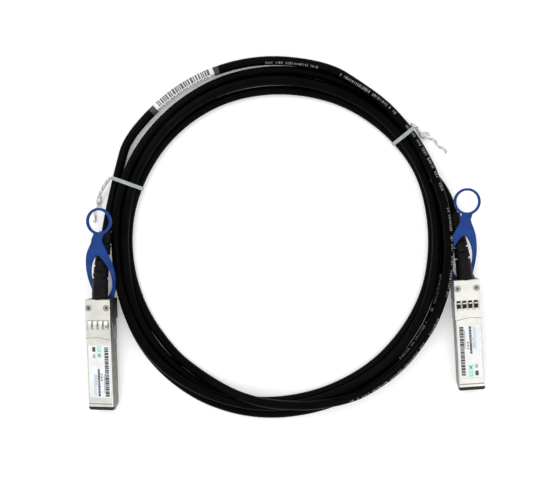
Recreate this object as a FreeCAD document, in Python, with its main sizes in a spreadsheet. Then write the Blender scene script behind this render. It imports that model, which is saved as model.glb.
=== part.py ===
import FreeCAD, Part
import Sketcher
import math
import os

# Direct attach copper cable: two pluggable die-cast connectors with pull-tab latches
# on one coiled twinaxial cable, tied twice. Millimetres, +Z up, the floor at Z = 0.
#
# Each connector is drawn in a frame of its own:
#   x across its width, y towards the cable, z towards the label,
#   y = 0 at the positive-stop shoulder, z = 0 at the latch-side face of the body.
# It is then rolled, pitched and turned to where it lies on the floor.

Vector = FreeCAD.Vector
Rotation = FreeCAD.Rotation
Placement = FreeCAD.Placement

SIZES = [
    # connector body, the part that enters the cage
    ("bodyWidth", 13.4),
    ("bodyHeight", 8.5),
    ("stopLength", 47.5),       # shoulder to connector end
    ("sideWall", 0.9),
    ("floorWall", 1.2),
    ("coverWall", 0.9),
    ("seamHeight", 6.7),        # cover and base shell part here along the body
    ("edgeRound", 0.3),
    ("cutBack", 10.4),          # the latch-side wall stops this far short of the end
    ("noseLength", 2.0),
    ("noseDepth", 2.4),
    ("noseRound", 0.8),
    ("noseTongue", 6.0),
    ("endSlope", 3.0),          # the side walls slope back at the end by this much
    ("endSlopeTop", 5.4),
    ("lipLength", 1.2),
    ("lipGroove", 0.4),
    # head, the part that stays outside the cage
    ("headLength", 10.7),
    ("headWidth", 13.6),
    ("headDrop", 2.6),
    ("headRise", 0.1),
    ("cableHeight", 4.6),       # axis of the cable, and seam of the head
    # label and its shallow recess
    ("labelStart", 13.0),
    ("labelLength", 27.8),
    ("labelWidth", 12.2),
    ("labelThickness", 0.1),
    ("labelRecess", 0.15),
    ("labelMargin", 0.1),
    # spring-finger collar round the body
    ("collarLength", 10.2),
    ("collarPeak", 1.1),
    ("collarThickness", 0.2),
    ("flapStart", 2.1),
    ("fingerCount", 4),
    ("fingerPitch", 3.0),
    ("fingerWidth", 1.9),
    ("fingerGap", 0.35),        # slot each side of a finger
    ("fingerStart", 0.7),
    ("fingerLength", 4.3),
    ("fingerBow", 0.45),
    ("reliefDepth", 0.35),
    # cover screws
    ("screwSpread", 9.9),
    ("screwSetback", 4.4),
    ("screwHeadRadius", 1.6),
    ("screwHeadHeight", 0.9),
    ("screwRadius", 0.7),
    ("screwLength", 5.4),
    ("screwClearance", 0.1),
    ("crossWidth", 0.35),
    ("crossLength", 1.7),
    ("crossDepth", 0.4),
    # latch slider, its channel and the boss that the cage's latch drops over
    ("sliderHeight", 0.1),      # underside of the slider above the latch-side face
    ("sliderThickness", 0.5),
    ("sliderClearance", 0.15),
    ("sliderBar", 2.0),
    ("sliderTravel", 2.3),
    ("channelWidth", 6.3),
    ("channelLength", 12.0),
    ("bossStart", 2.5),
    ("bossLength", 2.6),
    ("bossWidth", 2.6),
    ("bossHeight", 0.45),
    ("prongWidth", 1.4),
    ("prongReach", 7.2),
    ("rampLength", 1.3),
    ("rampHeight", 0.5),
    ("wingInner", 3.4),
    ("wingWidth", 1.6),
    ("wingLength", 4.0),
    ("lugWidth", 1.4),
    ("lugThickness", 0.5),
    ("pocketDepth", 8.7),       # from the cable-end face into the head
    ("springSeat", 1.2),
    ("springSeatWidth", 2.6),
    ("springRadius", 0.55),
    ("springWire", 0.3),
    ("springTurns", 4),
    # pull tab
    ("tabThickness", 1.3),
    ("legInner", 2.6),
    ("legSplay", 3.6),          # the same, where the legs start to bow
    ("legOuter", 5.9),
    ("legEnd", 13.2),
    ("crotchRound", 1.6),
    ("yokeBow", 7.5),           # half width of the yoke at its widest
    ("yokeMiddle", 26.5),
    ("yokeBand", 2.6),
    ("crotch", 34.6),
    ("neckWidth", 5.5),
    ("neckStart", 40.0),
    ("ringCentre", 51.4),
    ("ringRadius", 6.95),
    ("ringBand", 1.3),
    ("tabRise", 9.3),           # the ring lies this far above the legs
    ("riseStart", 15.5),
    ("riseEnd", 35.0),
    ("riseRound", 9.0),
    ("tabEdge", 0.3),
    # cable and boot
    ("cableRadius", 2.4),
    ("boreClearance", 0.05),
    ("ferruleRadius", 2.85),
    ("ferruleLength", 8.0),
    ("leadGap", 0.02),          # between the held end of the cable and the free cable
    ("cableEntry", 2.0),        # the jacket stops this far behind the shoulder
    ("bootLength", 35.0),
    ("bendLength", 7.0),        # this first part of the boot takes this share of its bend
    ("bendShare", 0.45),
    ("bootRootRadius", 4.2),
    ("bootTipRadius", 3.35),
    ("bootGap", 0.05),
    ("ringOverlap", 0.2),
    ("slotStart", 11.0),
    ("slotPitch", 6.0),
    ("slotCount", 4),
    ("slotWidth", 0.8),
    ("slotDepth", 1.45),
    # inside
    ("cardLevel", 2.25),
    ("cardThickness", 1.0),
    ("cardWidth", 11.0),
    ("cardEdgeWidth", 9.2),
    ("cardEdgeLength", 9.0),
    ("cardRecess", 3.2),
    ("cardSetback", 3.0),
    ("ledgeWidth", 1.3),
    ("wireRadius", 0.35),
    ("wireSpread", 0.9),
    ("wireReach", 3.0),
    ("chipLength", 5.0),
    ("chipWidth", 4.0),
    ("chipHeight", 1.0),
    ("chipPlace", 20.0),
    # where the connectors lie
    ("leftX", -94.9),
    ("leftY", -10.1),
    ("leftTurn", 1.5),
    ("leftRoll", -14.0),
    ("rightX", 95.4),
    ("rightY", 0.1),
    ("rightTurn", 3.8),
    ("rightRoll", 0.0),
    ("pitch", 3.3),
    ("floorGap", 0.02),
    # bends of the boots, and how far the soft tabs are pushed aside, in the connector's frame
    ("leftBootSide", 7.0),
    ("leftBootDown", 12.8),
    ("rightBootSide", -8.8),
    ("rightBootDown", 13.2),
    ("leftLegShift", 0.6),
    ("leftYokeShift", 1.05),
    ("leftCrotchShift", 1.4),
    ("leftNeckShift", 1.5),
    ("leftRingShift", 3.1),
    ("rightLegShift", -0.9),
    ("rightYokeShift", -0.75),
    ("rightCrotchShift", 0.2),
    ("rightNeckShift", 0.9),
    ("rightRingShift", 2.4),
    # coil
    ("coilHeight", 4.8),        # the lower layer of turns
    ("coilTop", 9.4),           # the upper layer, a little narrower
    ("coilRound", 1.6),
    ("coilBundle", 11.8),       # width of the bundle of turns
    ("coilOuterStep", 5.2),
    ("coilUpperRound", 1.0),
    ("coilInnerX", -2.5),
    ("coilInnerY", 28.3),
    ("coilOuterRadius", 91.0),
    ("coilOuterX", -0.5),
    ("coilOuterY", 30.3),
    ("coilFlatDepth", 5.7),     # the coil is cut back this far beside the right connector's boot
    ("coilFlatLow", 2.0),
    ("coilFlatTop", 82.0),
    # ties, sleeve label
    ("tieWidth", 1.9),
    ("tieThickness", 0.5),
    ("tieClearance", 0.1),
    ("tieSlack", 0.5),
    ("tieRound", 1.6),
    ("leftTieAngle", 287.5),
    ("leftTieUnder", 15.4),     # from the coil's outer radius in to the band's inner side
    ("leftTieOver", 3.6),
    ("rightTieAngle", 50.0),
    ("rightTieUnder", 14.1),
    ("rightTieOver", 1.6),
    ("coilCentreX", -3.8),
    ("coilCentreY", 32.6),
    ("tailRadius", 0.8),
    ("twistRadius", 1.3),
    ("sleeveWall", 0.2),
    ("sleeveClearance", 0.03),
    ("shrinkWall", 0.25),
    ("shrinkOverhang", 3.0),
]

# Routes of the free cable, point by point (a cable's route is chosen by hand). Each goes on
# from the tip of its boot, first in a straight run that leaves as the boot points.
LEFT_RUN = 10.0
LEFT_ROUTE = [
    (-90.3, 54.6, 3.5),
    (-87.5, 68.2, 3.0),
    (-82.8, 86.5, 3.1),
    (-54.0, 113.9, 3.1),
    (-16.5, 127.3, 3.1),
    (23.0, 124.4, 2.5),
    (49.5, 107.8, 2.5),
]
RIGHT_RUN = 10.5
RIGHT_ROUTE = [
    (81.4, 66.8, 2.5),
    (75.2, 77.4, 2.5),
    (67.4, 87.2, 2.5),
]
LABEL_CORNER = 5     # the sleeve label is on this bend of the left lead

LEFT_TAILS = [
    [(-94.3, 61.2, 2.6), (-97.4, 55.2, 1.7)],
    [(-97.1, 55.6, 1.5), (-99.7, 48.3, 0.9), (-100.9, 40.6, 0.9)],
    [(-97.2, 55.7, 1.5), (-96.9, 51.8, 0.9), (-96.2, 48.6, 0.9)],
]
RIGHT_TAILS = [
    [(67.9, 92.8, 2.8), (72.4, 89.5, 1.9)],
    [(72.1, 89.7, 1.7), (76.8, 86.1, 0.9), (86.9, 77.4, 0.9)],
    [(72.0, 89.8, 1.8), (75.4, 90.0, 0.9), (79.4, 88.2, 0.9)],
]


class Cell:
    # A number together with the sheet expression that it comes from.
    def __init__(self, value, text):
        self.value = value
        self.text = text

    def joined(self, other, sign, value):
        return Cell(value, f"({self.text} {sign} {textOf(other)})")

    def __float__(self):
        return float(self.value)

    def __neg__(self):
        return Cell(-self.value, f"(-1 * {self.text})")

    def __add__(self, other):
        return self.joined(other, "+", self.value + float(other))

    def __sub__(self, other):
        return self.joined(other, "-", self.value - float(other))

    def __mul__(self, other):
        return self.joined(other, "*", self.value * float(other))

    def __truediv__(self, other):
        return self.joined(other, "/", self.value / float(other))


def textOf(item):
    return item.text if isinstance(item, Cell) else repr(float(item))


doc = FreeCAD.newDocument("DirectAttachCable")
sheet = doc.addObject("Spreadsheet::Sheet", "Size")
for row, (alias, value) in enumerate(SIZES, start=1):
    sheet.set(f"A{row}", alias)
    sheet.set(f"B{row}", str(value))
    sheet.setAlias(f"B{row}", alias)
doc.recompute()


class Sizes:
    # Size.name in the sheet, as a Cell.
    def __getattr__(self, alias):
        return Cell(float(sheet.get(alias)), f"Size.{alias}")


s = Sizes()
zero = Cell(0.0, "0")


def bind(thing, name, cell):
    if isinstance(cell, Cell) and "Size" in cell.text:
        thing.setExpression(name, cell.text)
    else:
        setattr(thing, name, float(cell))


# ---- sketches and features

def originPlane(body, role):
    return next(f for f in body.Origin.OriginFeatures if f.Role == role)


def newSketch(body, name, role, offset):
    sketch = body.newObject("Sketcher::SketchObject", name)
    sketch.AttachmentSupport = [(originPlane(body, role), "")]
    sketch.MapMode = "FlatFace"
    if "Size" in offset.text:
        sketch.setExpression("AttachmentOffset.Base.z", offset.text)
    return sketch


def pin(sketch, kind, shape, end, cell):
    number = sketch.addConstraint(Sketcher.Constraint(kind, -1, 1, shape, end, float(cell)))
    if isinstance(cell, Cell) and "Size" in cell.text:
        sketch.setExpression(f"Constraints[{number}]", cell.text)


def drawOutline(sketch, corners):
    # A closed outline; a corner given as ("arc", x, y) is a point that an arc passes through.
    stations = [c for c in corners if c[0] != "arc"]
    spots = [Vector(float(x), float(y), 0) for x, y in stations]
    first = sketch.GeometryCount
    bends = {}
    index = -1
    for corner in corners:
        if corner[0] == "arc":
            bends[index] = (corner[1], corner[2])
        else:
            index += 1
    count = len(spots)
    forward = []
    for number in range(count):
        start, end = spots[number], spots[(number + 1) % count]
        onwards = True
        if number in bends:
            # the sketcher keeps arcs anticlockwise
            middle = Vector(float(bends[number][0]), float(bends[number][1]), 0)
            onwards = (middle - start).cross(end - middle).z > 0
            ends = (start, end) if onwards else (end, start)
            sketch.addGeometry(Part.Arc(ends[0], middle, ends[1]), False)
        else:
            sketch.addGeometry(Part.LineSegment(start, end), False)
        forward.append(onwards)
    for number in range(count):
        following = (number + 1) % count
        tail = 2 if forward[number] else 1
        head = 1 if forward[following] else 2
        sketch.addConstraint(
            Sketcher.Constraint("Coincident", first + number, tail, first + following, head))
    for number, (x, y) in enumerate(stations):
        head = 1 if forward[number] else 2
        pin(sketch, "DistanceX", first + number, head, x)
        pin(sketch, "DistanceY", first + number, head, y)
    for number, (x, y) in bends.items():
        spot = sketch.addGeometry(Part.Point(Vector(float(x), float(y), 0)), True)
        pin(sketch, "DistanceX", spot, 1, x)
        pin(sketch, "DistanceY", spot, 1, y)
        sketch.addConstraint(
            Sketcher.Constraint("PointOnObject", spot, 1, first + number))


def drawCircle(sketch, x, y, radius):
    number = sketch.addGeometry(
        Part.Circle(Vector(float(x), float(y), 0), Vector(0, 0, 1), float(radius)), False)
    pin(sketch, "DistanceX", number, 3, x)
    pin(sketch, "DistanceY", number, 3, y)
    size = sketch.addConstraint(Sketcher.Constraint("Radius", number, float(radius)))
    if isinstance(radius, Cell):
        sketch.setExpression(f"Constraints[{size}]", radius.text)


def block(body, kind, name, role, low, high, outlines=(), circles=()):
    # A pad or pocket of closed outlines between two distances along the plane's own axis.
    flip = -1.0 if role == "XZ_Plane" else 1.0
    sketch = newSketch(body, name + "Sketch", role, (low + high) / 2 * flip)
    for corners in outlines:
        drawOutline(sketch, corners)
    for x, y, radius in circles:
        drawCircle(sketch, x, y, radius)
    feature = body.newObject("PartDesign::" + kind, name)
    feature.Profile = sketch
    feature.SideType = "Symmetric"
    feature.setExpression("Length", (high - low).text)
    doc.recompute()
    return feature


def rectangle(left, right, bottom, top):
    return [(left, bottom), (right, bottom), (right, top), (left, top)]


def roundEdges(body, name, size, wanted, kind="Fillet"):
    # Fillets or chamfers the edges of the body that the test picks.
    base = body.Tip
    names = []
    for number, edge in enumerate(base.Shape.Edges, start=1):
        if wanted(edge):
            names.append(f"Edge{number}")
    feature = body.newObject("PartDesign::" + kind, name)
    feature.Base = (base, names)
    bind(feature, "Radius" if kind == "Fillet" else "Size", size)
    doc.recompute()
    return feature


def runsAlong(edge, axis):
    if edge.Curve.TypeId != "Part::GeomLine":
        return False
    ends = edge.Vertexes[-1].Point - edge.Vertexes[0].Point
    return abs(abs(ends.normalize().dot(axis)) - 1) < 1e-6


def newBody(name):
    body = doc.addObject("PartDesign::Body", name)
    body.Label = name
    return body


ALONG_X = Vector(1, 0, 0)
ALONG_Y = Vector(0, 1, 0)
ALONG_Z = Vector(0, 0, 1)

finished = {}      # node name: document object


def finish(name, item):
    item.Label = name
    finished[name] = item


def combine(kind, name, base, tool):
    item = doc.addObject("Part::" + kind, name)
    item.Base = base
    item.Tool = tool
    doc.recompute()
    return item


def feature(name, shape):
    item = doc.addObject("Part::Feature", name)
    item.Shape = shape
    return item


# ---- paths

def roundedPath(points, share=0.45):
    # Straight runs joined by tangent arcs, each as large as its two runs allow.
    corners = [Vector(*point) for point in points]
    edges = []
    radii = []
    start = corners[0]
    for before, corner, after in zip(corners, corners[1:], corners[2:]):
        arriving = (corner - before).normalize()
        leaving = (after - corner).normalize()
        half = arriving.getAngle(leaving) / 2
        reach = share * min((corner - before).Length, (after - corner).Length)
        radius = reach / math.tan(half)
        inward = (leaving - arriving).normalize()
        middle = corner + inward * (radius / math.cos(half) - radius)
        arcStart = corner - arriving * reach
        arcEnd = corner + leaving * reach
        if start.distanceToPoint(arcStart) > 1e-6:
            edges.append(Part.LineSegment(start, arcStart).toShape())
        edges.append(Part.Arc(arcStart, middle, arcEnd).toShape())
        radii.append(radius)
        start = arcEnd
    edges.append(Part.LineSegment(start, corners[-1]).toShape())
    return edges, radii


def tube(edges, radius, inner=None):
    # A round bar, or a pipe when an inner radius is given, along the edges.
    path = Part.Wire(edges)
    first = edges[0]
    start = first.valueAt(first.FirstParameter)
    heading = first.tangentAt(first.FirstParameter)
    bar = Part.Wire(Part.makeCircle(radius, start, heading).Edges)
    solid = path.makePipeShell([bar], True, False)
    if inner is None:
        return solid
    hole = Part.Wire(Part.makeCircle(inner, start, heading).Edges)
    return solid.cut(path.makePipeShell([hole], True, False))


def bentBar(points, radius):
    # a round bar with mitred corners
    path = Part.makePolygon([Vector(*point) for point in points])
    start = Vector(*points[0])
    heading = Vector(*points[1]) - start
    bar = Part.Wire(Part.makeCircle(radius, start, heading).Edges)
    return path.makePipeShell([bar], True, False, 1)


def checkTube(name, solid, edges, radius):
    expected = math.pi * radius ** 2 * sum(edge.Length for edge in edges)
    print(f"{name}: length {sum(e.Length for e in edges):.1f}, volume / (section x length) "
          f"{solid.Volume / expected:.4f}")


# ---- the connector

# Derived levels that several pieces share.
headTop = s.bodyHeight + s.headRise
collarEnd = -s.collarLength
coverEnd = -(s.stopLength - s.noseLength)
innerHalf = s.bodyWidth / 2 - s.sideWall
sliderMiddle = s.sliderHeight + s.sliderThickness / 2
sliderTop = s.sliderHeight + s.sliderThickness
channelRoof = sliderTop + s.sliderClearance
pocketInner = s.headLength - s.pocketDepth
barStart = pocketInner + s.sliderClearance
barEnd = barStart + s.sliderBar
legLow = sliderMiddle - s.tabThickness / 2
legHigh = sliderMiddle + s.tabThickness / 2
pocketLow = legLow - s.sliderClearance
pocketHigh = legHigh + s.sliderClearance
pocketHalf = s.legOuter + s.sliderClearance
springStart = barEnd + s.lugThickness
springEnd = s.headLength - s.springSeat
cardTop = s.cardLevel + s.cardThickness
noseSeat = s.bodyHeight - s.noseDepth
coverInside = s.bodyHeight - s.coverWall
fingerWindow = s.fingerWidth / 2 + s.fingerGap
ferruleStart = s.headLength - s.ferruleLength


def fingerPlaces():
    count = int(float(s.fingerCount))
    return [s.fingerPitch * (number - (count - 1) / 2) for number in range(count)]


def sidePlaces():
    # two fingers down each narrow side, about the middle of its height
    return [s.bodyHeight / 2 - s.fingerPitch / 2, s.bodyHeight / 2 + s.fingerPitch / 2]


def baseShell(name):
    body = newBody(name)
    half = s.bodyWidth / 2
    block(body, "Pad", "BodySide", "YZ_Plane", -half, half, [[
        (-s.stopLength, noseSeat),
        (-s.stopLength, s.endSlopeTop),
        (s.endSlope - s.stopLength, zero),
        (zero, zero),
        (zero, s.seamHeight),
        (coverEnd, s.seamHeight),
        (coverEnd, noseSeat),
    ]])
    block(body, "Pad", "Head", "YZ_Plane", -half, half,
          [rectangle(zero, s.headLength, -s.headDrop, s.cableHeight)])
    roundEdges(body, "LowerEdges", s.edgeRound,
               lambda e: runsAlong(e, ALONG_Y) and e.CenterOfMass.z < 0.1
               and abs(e.CenterOfMass.x) > float(half) - 0.1, "Chamfer")
    block(body, "Pocket", "Cavity", "XY_Plane", s.floorWall, s.bodyHeight,
          [rectangle(-innerHalf, innerHalf, -s.stopLength - 1, zero)])
    block(body, "Pocket", "EndOpening", "XY_Plane", -s.floorWall, s.floorWall * 2,
          [rectangle(-innerHalf, innerHalf, -s.stopLength - 1, s.cutBack - s.stopLength)])
    block(body, "Pocket", "CableBore", "XZ_Plane", -s.headLength - 1, s.headLength + 1,
          circles=[(zero, s.cableHeight, s.ferruleRadius)])
    # ledges that carry the paddle card
    block(body, "Pad", "Ledges", "XZ_Plane", s.cutBack - s.stopLength, -s.cardSetback, [
        rectangle(-innerHalf, s.ledgeWidth - innerHalf, s.floorWall, s.cardLevel),
        rectangle(innerHalf - s.ledgeWidth, innerHalf, s.floorWall, s.cardLevel),
    ])
    # room for the slider and the legs of the pull tab, round the spring's seat
    seat = s.springSeatWidth / 2
    block(body, "Pocket", "SliderPocket", "XY_Plane", pocketLow, pocketHigh, [[
        (-pocketHalf, pocketInner),
        (pocketHalf, pocketInner),
        (pocketHalf, s.headLength + 1),
        (seat, s.headLength + 1),
        (seat, springEnd),
        (-seat, springEnd),
        (-seat, s.headLength + 1),
        (-pocketHalf, s.headLength + 1),
    ]])
    channel = s.channelWidth / 2
    block(body, "Pocket", "Channel", "XY_Plane", -s.headRise, channelRoof,
          [rectangle(-channel, channel, -s.channelLength, pocketInner + 0.1)])
    boss = s.bossWidth / 2
    block(body, "Pad", "LatchBoss", "YZ_Plane", -boss, boss, [[
        (-s.bossStart, channelRoof),
        (-s.bossStart, -s.bossHeight),
        (-s.bossStart - 0.5, -s.bossHeight),
        (-s.bossStart - s.bossLength, zero),
        (-s.bossStart - s.bossLength, channelRoof),
    ]])
    block(body, "Pocket", "ScrewHoles", "XY_Plane",
          s.bodyHeight - s.screwLength - 0.3, s.bodyHeight,
          circles=[(-s.screwSpread / 2, s.headLength - s.screwSetback, s.screwRadius),
                   (s.screwSpread / 2, s.headLength - s.screwSetback, s.screwRadius)])
    # grooves that let the side fingers give
    for side, sign in (("Left", -1.0), ("Right", 1.0)):
        face = half * sign
        edge = (half - s.reliefDepth) * sign
        left = min(face, edge, key=float)
        right = max(face, edge, key=float) + (0.2 if sign > 0 else 0.0)
        block(body, "Pocket", "SideRelief" + side, "XY_Plane",
              sidePlaces()[0] - fingerWindow, s.seamHeight,
              [rectangle(left, right, -s.fingerStart - s.fingerLength, -s.fingerStart)])
    finish(name, body)
    return body


def topCover(name):
    body = newBody(name)
    half = s.bodyWidth / 2
    block(body, "Pad", "Lid", "YZ_Plane", -half, half,
          [rectangle(coverEnd, zero, s.seamHeight, s.bodyHeight)])
    block(body, "Pad", "HeadLid", "YZ_Plane", -s.headWidth / 2, s.headWidth / 2,
          [rectangle(zero, s.headLength, s.cableHeight, headTop)])
    roundEdges(body, "LongEdges", s.edgeRound,
               lambda e: runsAlong(e, ALONG_Y) and e.CenterOfMass.z > float(s.bodyHeight) - 0.1,
               "Chamfer")
    roundEdges(body, "HeadEdge", s.edgeRound,
               lambda e: runsAlong(e, ALONG_X) and e.CenterOfMass.z > float(headTop) - 0.01
               and e.CenterOfMass.y > float(s.headLength) - 0.1, "Chamfer")
    block(body, "Pocket", "Hollow", "XY_Plane", s.cableHeight, coverInside,
          [rectangle(-innerHalf, innerHalf, coverEnd - 1, zero)])
    block(body, "Pocket", "CableBore", "XZ_Plane", -s.headLength - 1, s.headLength + 1,
          circles=[(zero, s.cableHeight, s.ferruleRadius)])
    margin = s.labelMargin
    block(body, "Pocket", "LabelRecess", "XY_Plane",
          s.bodyHeight - s.labelRecess, s.bodyHeight + 1,
          [rectangle(-s.labelWidth / 2 - margin, s.labelWidth / 2 + margin,
                     -s.labelStart - s.labelLength - margin, margin - s.labelStart)])
    block(body, "Pocket", "Lip", "XY_Plane", s.bodyHeight - s.lipGroove / 2, s.bodyHeight + 1,
          [rectangle(-s.bodyWidth, s.bodyWidth, coverEnd + s.lipLength,
                     coverEnd + s.lipLength + s.lipGroove)])
    place = s.headLength - s.screwSetback
    spots = [(-s.screwSpread / 2, place), (s.screwSpread / 2, place)]
    block(body, "Pocket", "ScrewHoles", "XY_Plane", s.cableHeight - 1, headTop + 1,
          circles=[(x, y, s.screwRadius + s.screwClearance) for x, y in spots])
    block(body, "Pocket", "Counterbores", "XY_Plane", headTop - s.screwHeadHeight, headTop + 1,
          circles=[(x, y, s.screwHeadRadius + s.screwClearance) for x, y in spots])
    reach = fingerPlaces()[-1] + fingerWindow
    block(body, "Pocket", "FingerRelief", "XY_Plane",
          s.bodyHeight - s.reliefDepth, s.bodyHeight + 1,
          [rectangle(-reach, reach, -s.fingerStart - s.fingerLength, -s.fingerStart)])
    finish(name, body)
    return body


def collar(name):
    # A thin stamped sleeve, open over the latch channel, with bowed spring fingers.
    body = newBody(name)
    wall = s.collarThickness
    half = s.bodyWidth / 2
    top = s.bodyHeight
    mouth = s.channelWidth / 2 + 0.5
    block(body, "Pad", "Sleeve", "XZ_Plane", collarEnd, -s.sliderClearance / 2, [[
        (-mouth, zero),
        (-half, zero),
        (-half, top),
        (half, top),
        (half, zero),
        (mouth, zero),
        (mouth, -wall),
        (half + wall, -wall),
        (half + wall, top + wall),
        (-half - wall, top + wall),
        (-half - wall, -wall),
        (-mouth, -wall),
    ]])
    block(body, "Pocket", "Chevron", "XY_Plane", top / 2, top + 1, [[
        (-half - 1, collarEnd),
        (-half - 1, collarEnd - 1),
        (half + 1, collarEnd - 1),
        (half + 1, collarEnd),
        (zero, collarEnd + s.collarPeak),
    ]])
    # the flaps beside the channel stay clear of whatever the shoulder stops against
    block(body, "Pocket", "FlapRelief", "XY_Plane", -wall * 2, zero,
          [rectangle(-half - 1, half + 1, -s.flapStart, s.sliderClearance)])
    near = -s.fingerStart
    far = -s.fingerStart - s.fingerLength
    places = fingerPlaces()
    block(body, "Pocket", "TopWindows", "XY_Plane", top - 0.1, top + 1,
          [rectangle(x - fingerWindow, x + fingerWindow, far, near) for x in places])
    bow = s.fingerBow
    third = s.fingerLength * 0.3
    for number, x in enumerate(places):
        block(body, "Pad", f"TopFinger{number}", "YZ_Plane",
              x - s.fingerWidth / 2, x + s.fingerWidth / 2, [[
                  (near + 0.1, top), (near, top), (near - third, top + bow),
                  (far + third, top + bow), (far, top), (far - 0.1, top),
                  (far - 0.1, top + wall), (far, top + wall), (far + third, top + bow + wall),
                  (near - third, top + bow + wall), (near, top + wall), (near + 0.1, top + wall),
              ]])
    for number, z in enumerate(sidePlaces()):
        block(body, "Pocket", f"SideWindow{number}", "YZ_Plane", -half - 1, half + 1,
              [rectangle(far, near, z - fingerWindow, z + fingerWindow)])
        for side, sign in (("Left", -1.0), ("Right", 1.0)):
            face = half * sign
            rise = bow * sign
            skin = wall * sign
            block(body, "Pad", f"{side}Finger{number}", "XY_Plane",
                  z - s.fingerWidth / 2, z + s.fingerWidth / 2, [[
                      (face, near + 0.1), (face, near), (face + rise, near - third),
                      (face + rise, far + third), (face, far), (face, far - 0.1),
                      (face + skin, far - 0.1), (face + skin, far),
                      (face + rise + skin, far + third), (face + rise + skin, near - third),
                      (face + skin, near), (face + skin, near + 0.1),
                  ]])
    finish(name, body)
    return body


def coverScrews(name):
    # two equal screws in one node, heads just below the head's top face
    body = newBody(name)
    place = s.headLength - s.screwSetback
    seat = headTop - s.screwHeadHeight
    tops = headTop - 0.1
    spots = [(-s.screwSpread / 2, place), (s.screwSpread / 2, place)]
    body.AllowCompound = True
    block(body, "Pad", "Shanks", "XY_Plane", s.bodyHeight - s.screwLength, seat,
          circles=[(x, y, s.screwRadius) for x, y in spots])
    block(body, "Pad", "Heads", "XY_Plane", seat, tops,
          circles=[(x, y, s.screwHeadRadius) for x, y in spots])
    for number, (x, y) in enumerate(spots):
        long = s.crossLength / 2
        thin = s.crossWidth / 2
        block(body, "Pocket", f"Cross{number}", "XY_Plane", tops - s.crossDepth, tops + 1, [[
            (x - long, y - thin), (x - thin, y - thin), (x - thin, y - long),
            (x + thin, y - long), (x + thin, y - thin), (x + long, y - thin),
            (x + long, y + thin), (x + thin, y + thin), (x + thin, y + long),
            (x - thin, y + long), (x - thin, y + thin), (x - long, y + thin),
        ]])
    finish(name, body)
    return body


def latchSlider(name):
    # One stamped strip: a bar in the head, two wings in the tab's legs, a lug for the
    # spring, and two prongs that straddle the boss and end in unlatching ramps.
    body = newBody(name)
    inner = s.bossWidth / 2 + (s.channelWidth / 2 - s.bossWidth / 2 - s.prongWidth) / 2
    outer = inner + s.prongWidth
    wing = s.wingInner + s.wingWidth
    tip = -s.prongReach
    block(body, "Pad", "Strip", "XY_Plane", s.sliderHeight, sliderTop, [[
        (-outer, tip), (-inner, tip), (-inner, barStart), (inner, barStart),
        (inner, tip), (outer, tip), (outer, barStart), (s.legOuter, barStart),
        (s.legOuter, barEnd), (wing, barEnd), (wing, barEnd + s.wingLength),
        (s.wingInner, barEnd + s.wingLength), (s.wingInner, barEnd),
        (-s.wingInner, barEnd), (-s.wingInner, barEnd + s.wingLength),
        (-wing, barEnd + s.wingLength), (-wing, barEnd), (-s.legOuter, barEnd),
        (-s.legOuter, barStart), (-outer, barStart),
    ]])
    lug = s.lugWidth / 2
    block(body, "Pad", "Lug", "XY_Plane", legLow, legHigh,
          [rectangle(-lug, lug, barEnd - 0.1, springStart)])
    for side, sign in (("Left", -1.0), ("Right", 1.0)):
        near = inner * sign
        far = outer * sign
        low, high = (far, near) if sign < 0 else (near, far)
        block(body, "Pad", side + "Ramp", "YZ_Plane", low, high, [[
            (tip, s.sliderHeight),
            (tip, s.sliderHeight - s.rampHeight / 2),
            (tip + s.rampLength / 2, s.sliderHeight - s.rampHeight),
            (tip + s.rampLength, s.sliderHeight),
        ]])
    finish(name, body)
    return body


def returnSpring(name):
    helix = doc.addObject("Part::Helix", name + "Line")
    length = springEnd - springStart - s.springWire
    helix.setExpression("Height", length.text)
    helix.setExpression("Pitch", (length / s.springTurns).text)
    helix.setExpression("Radius", s.springRadius.text)
    ring = doc.addObject("Part::RegularPolygon", name + "Wire")
    ring.Polygon = 4
    ring.setExpression("Circumradius", (s.springWire / 2).text)
    ring.setExpression("Placement.Base.x", s.springRadius.text)
    ring.Placement.Rotation = Rotation(ALONG_X, 90)
    doc.recompute()
    sweep = doc.addObject("Part::Sweep", name)
    sweep.Sections = [ring]
    sweep.Spine = (helix, [f"Edge{n}" for n in range(1, len(helix.Shape.Edges) + 1)])
    sweep.Solid = True
    sweep.Frenet = True
    sweep.Transition = "Right corner"
    doc.recompute()
    start = springStart + s.springWire / 2
    turned = Placement(Vector(0, float(start), float(sliderMiddle)), Rotation(ALONG_X, -90))
    spring = feature(name + "Coil", sweep.Shape.copy().transformGeometry(turned.toMatrix()))
    finish(name, spring)
    return spring


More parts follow.
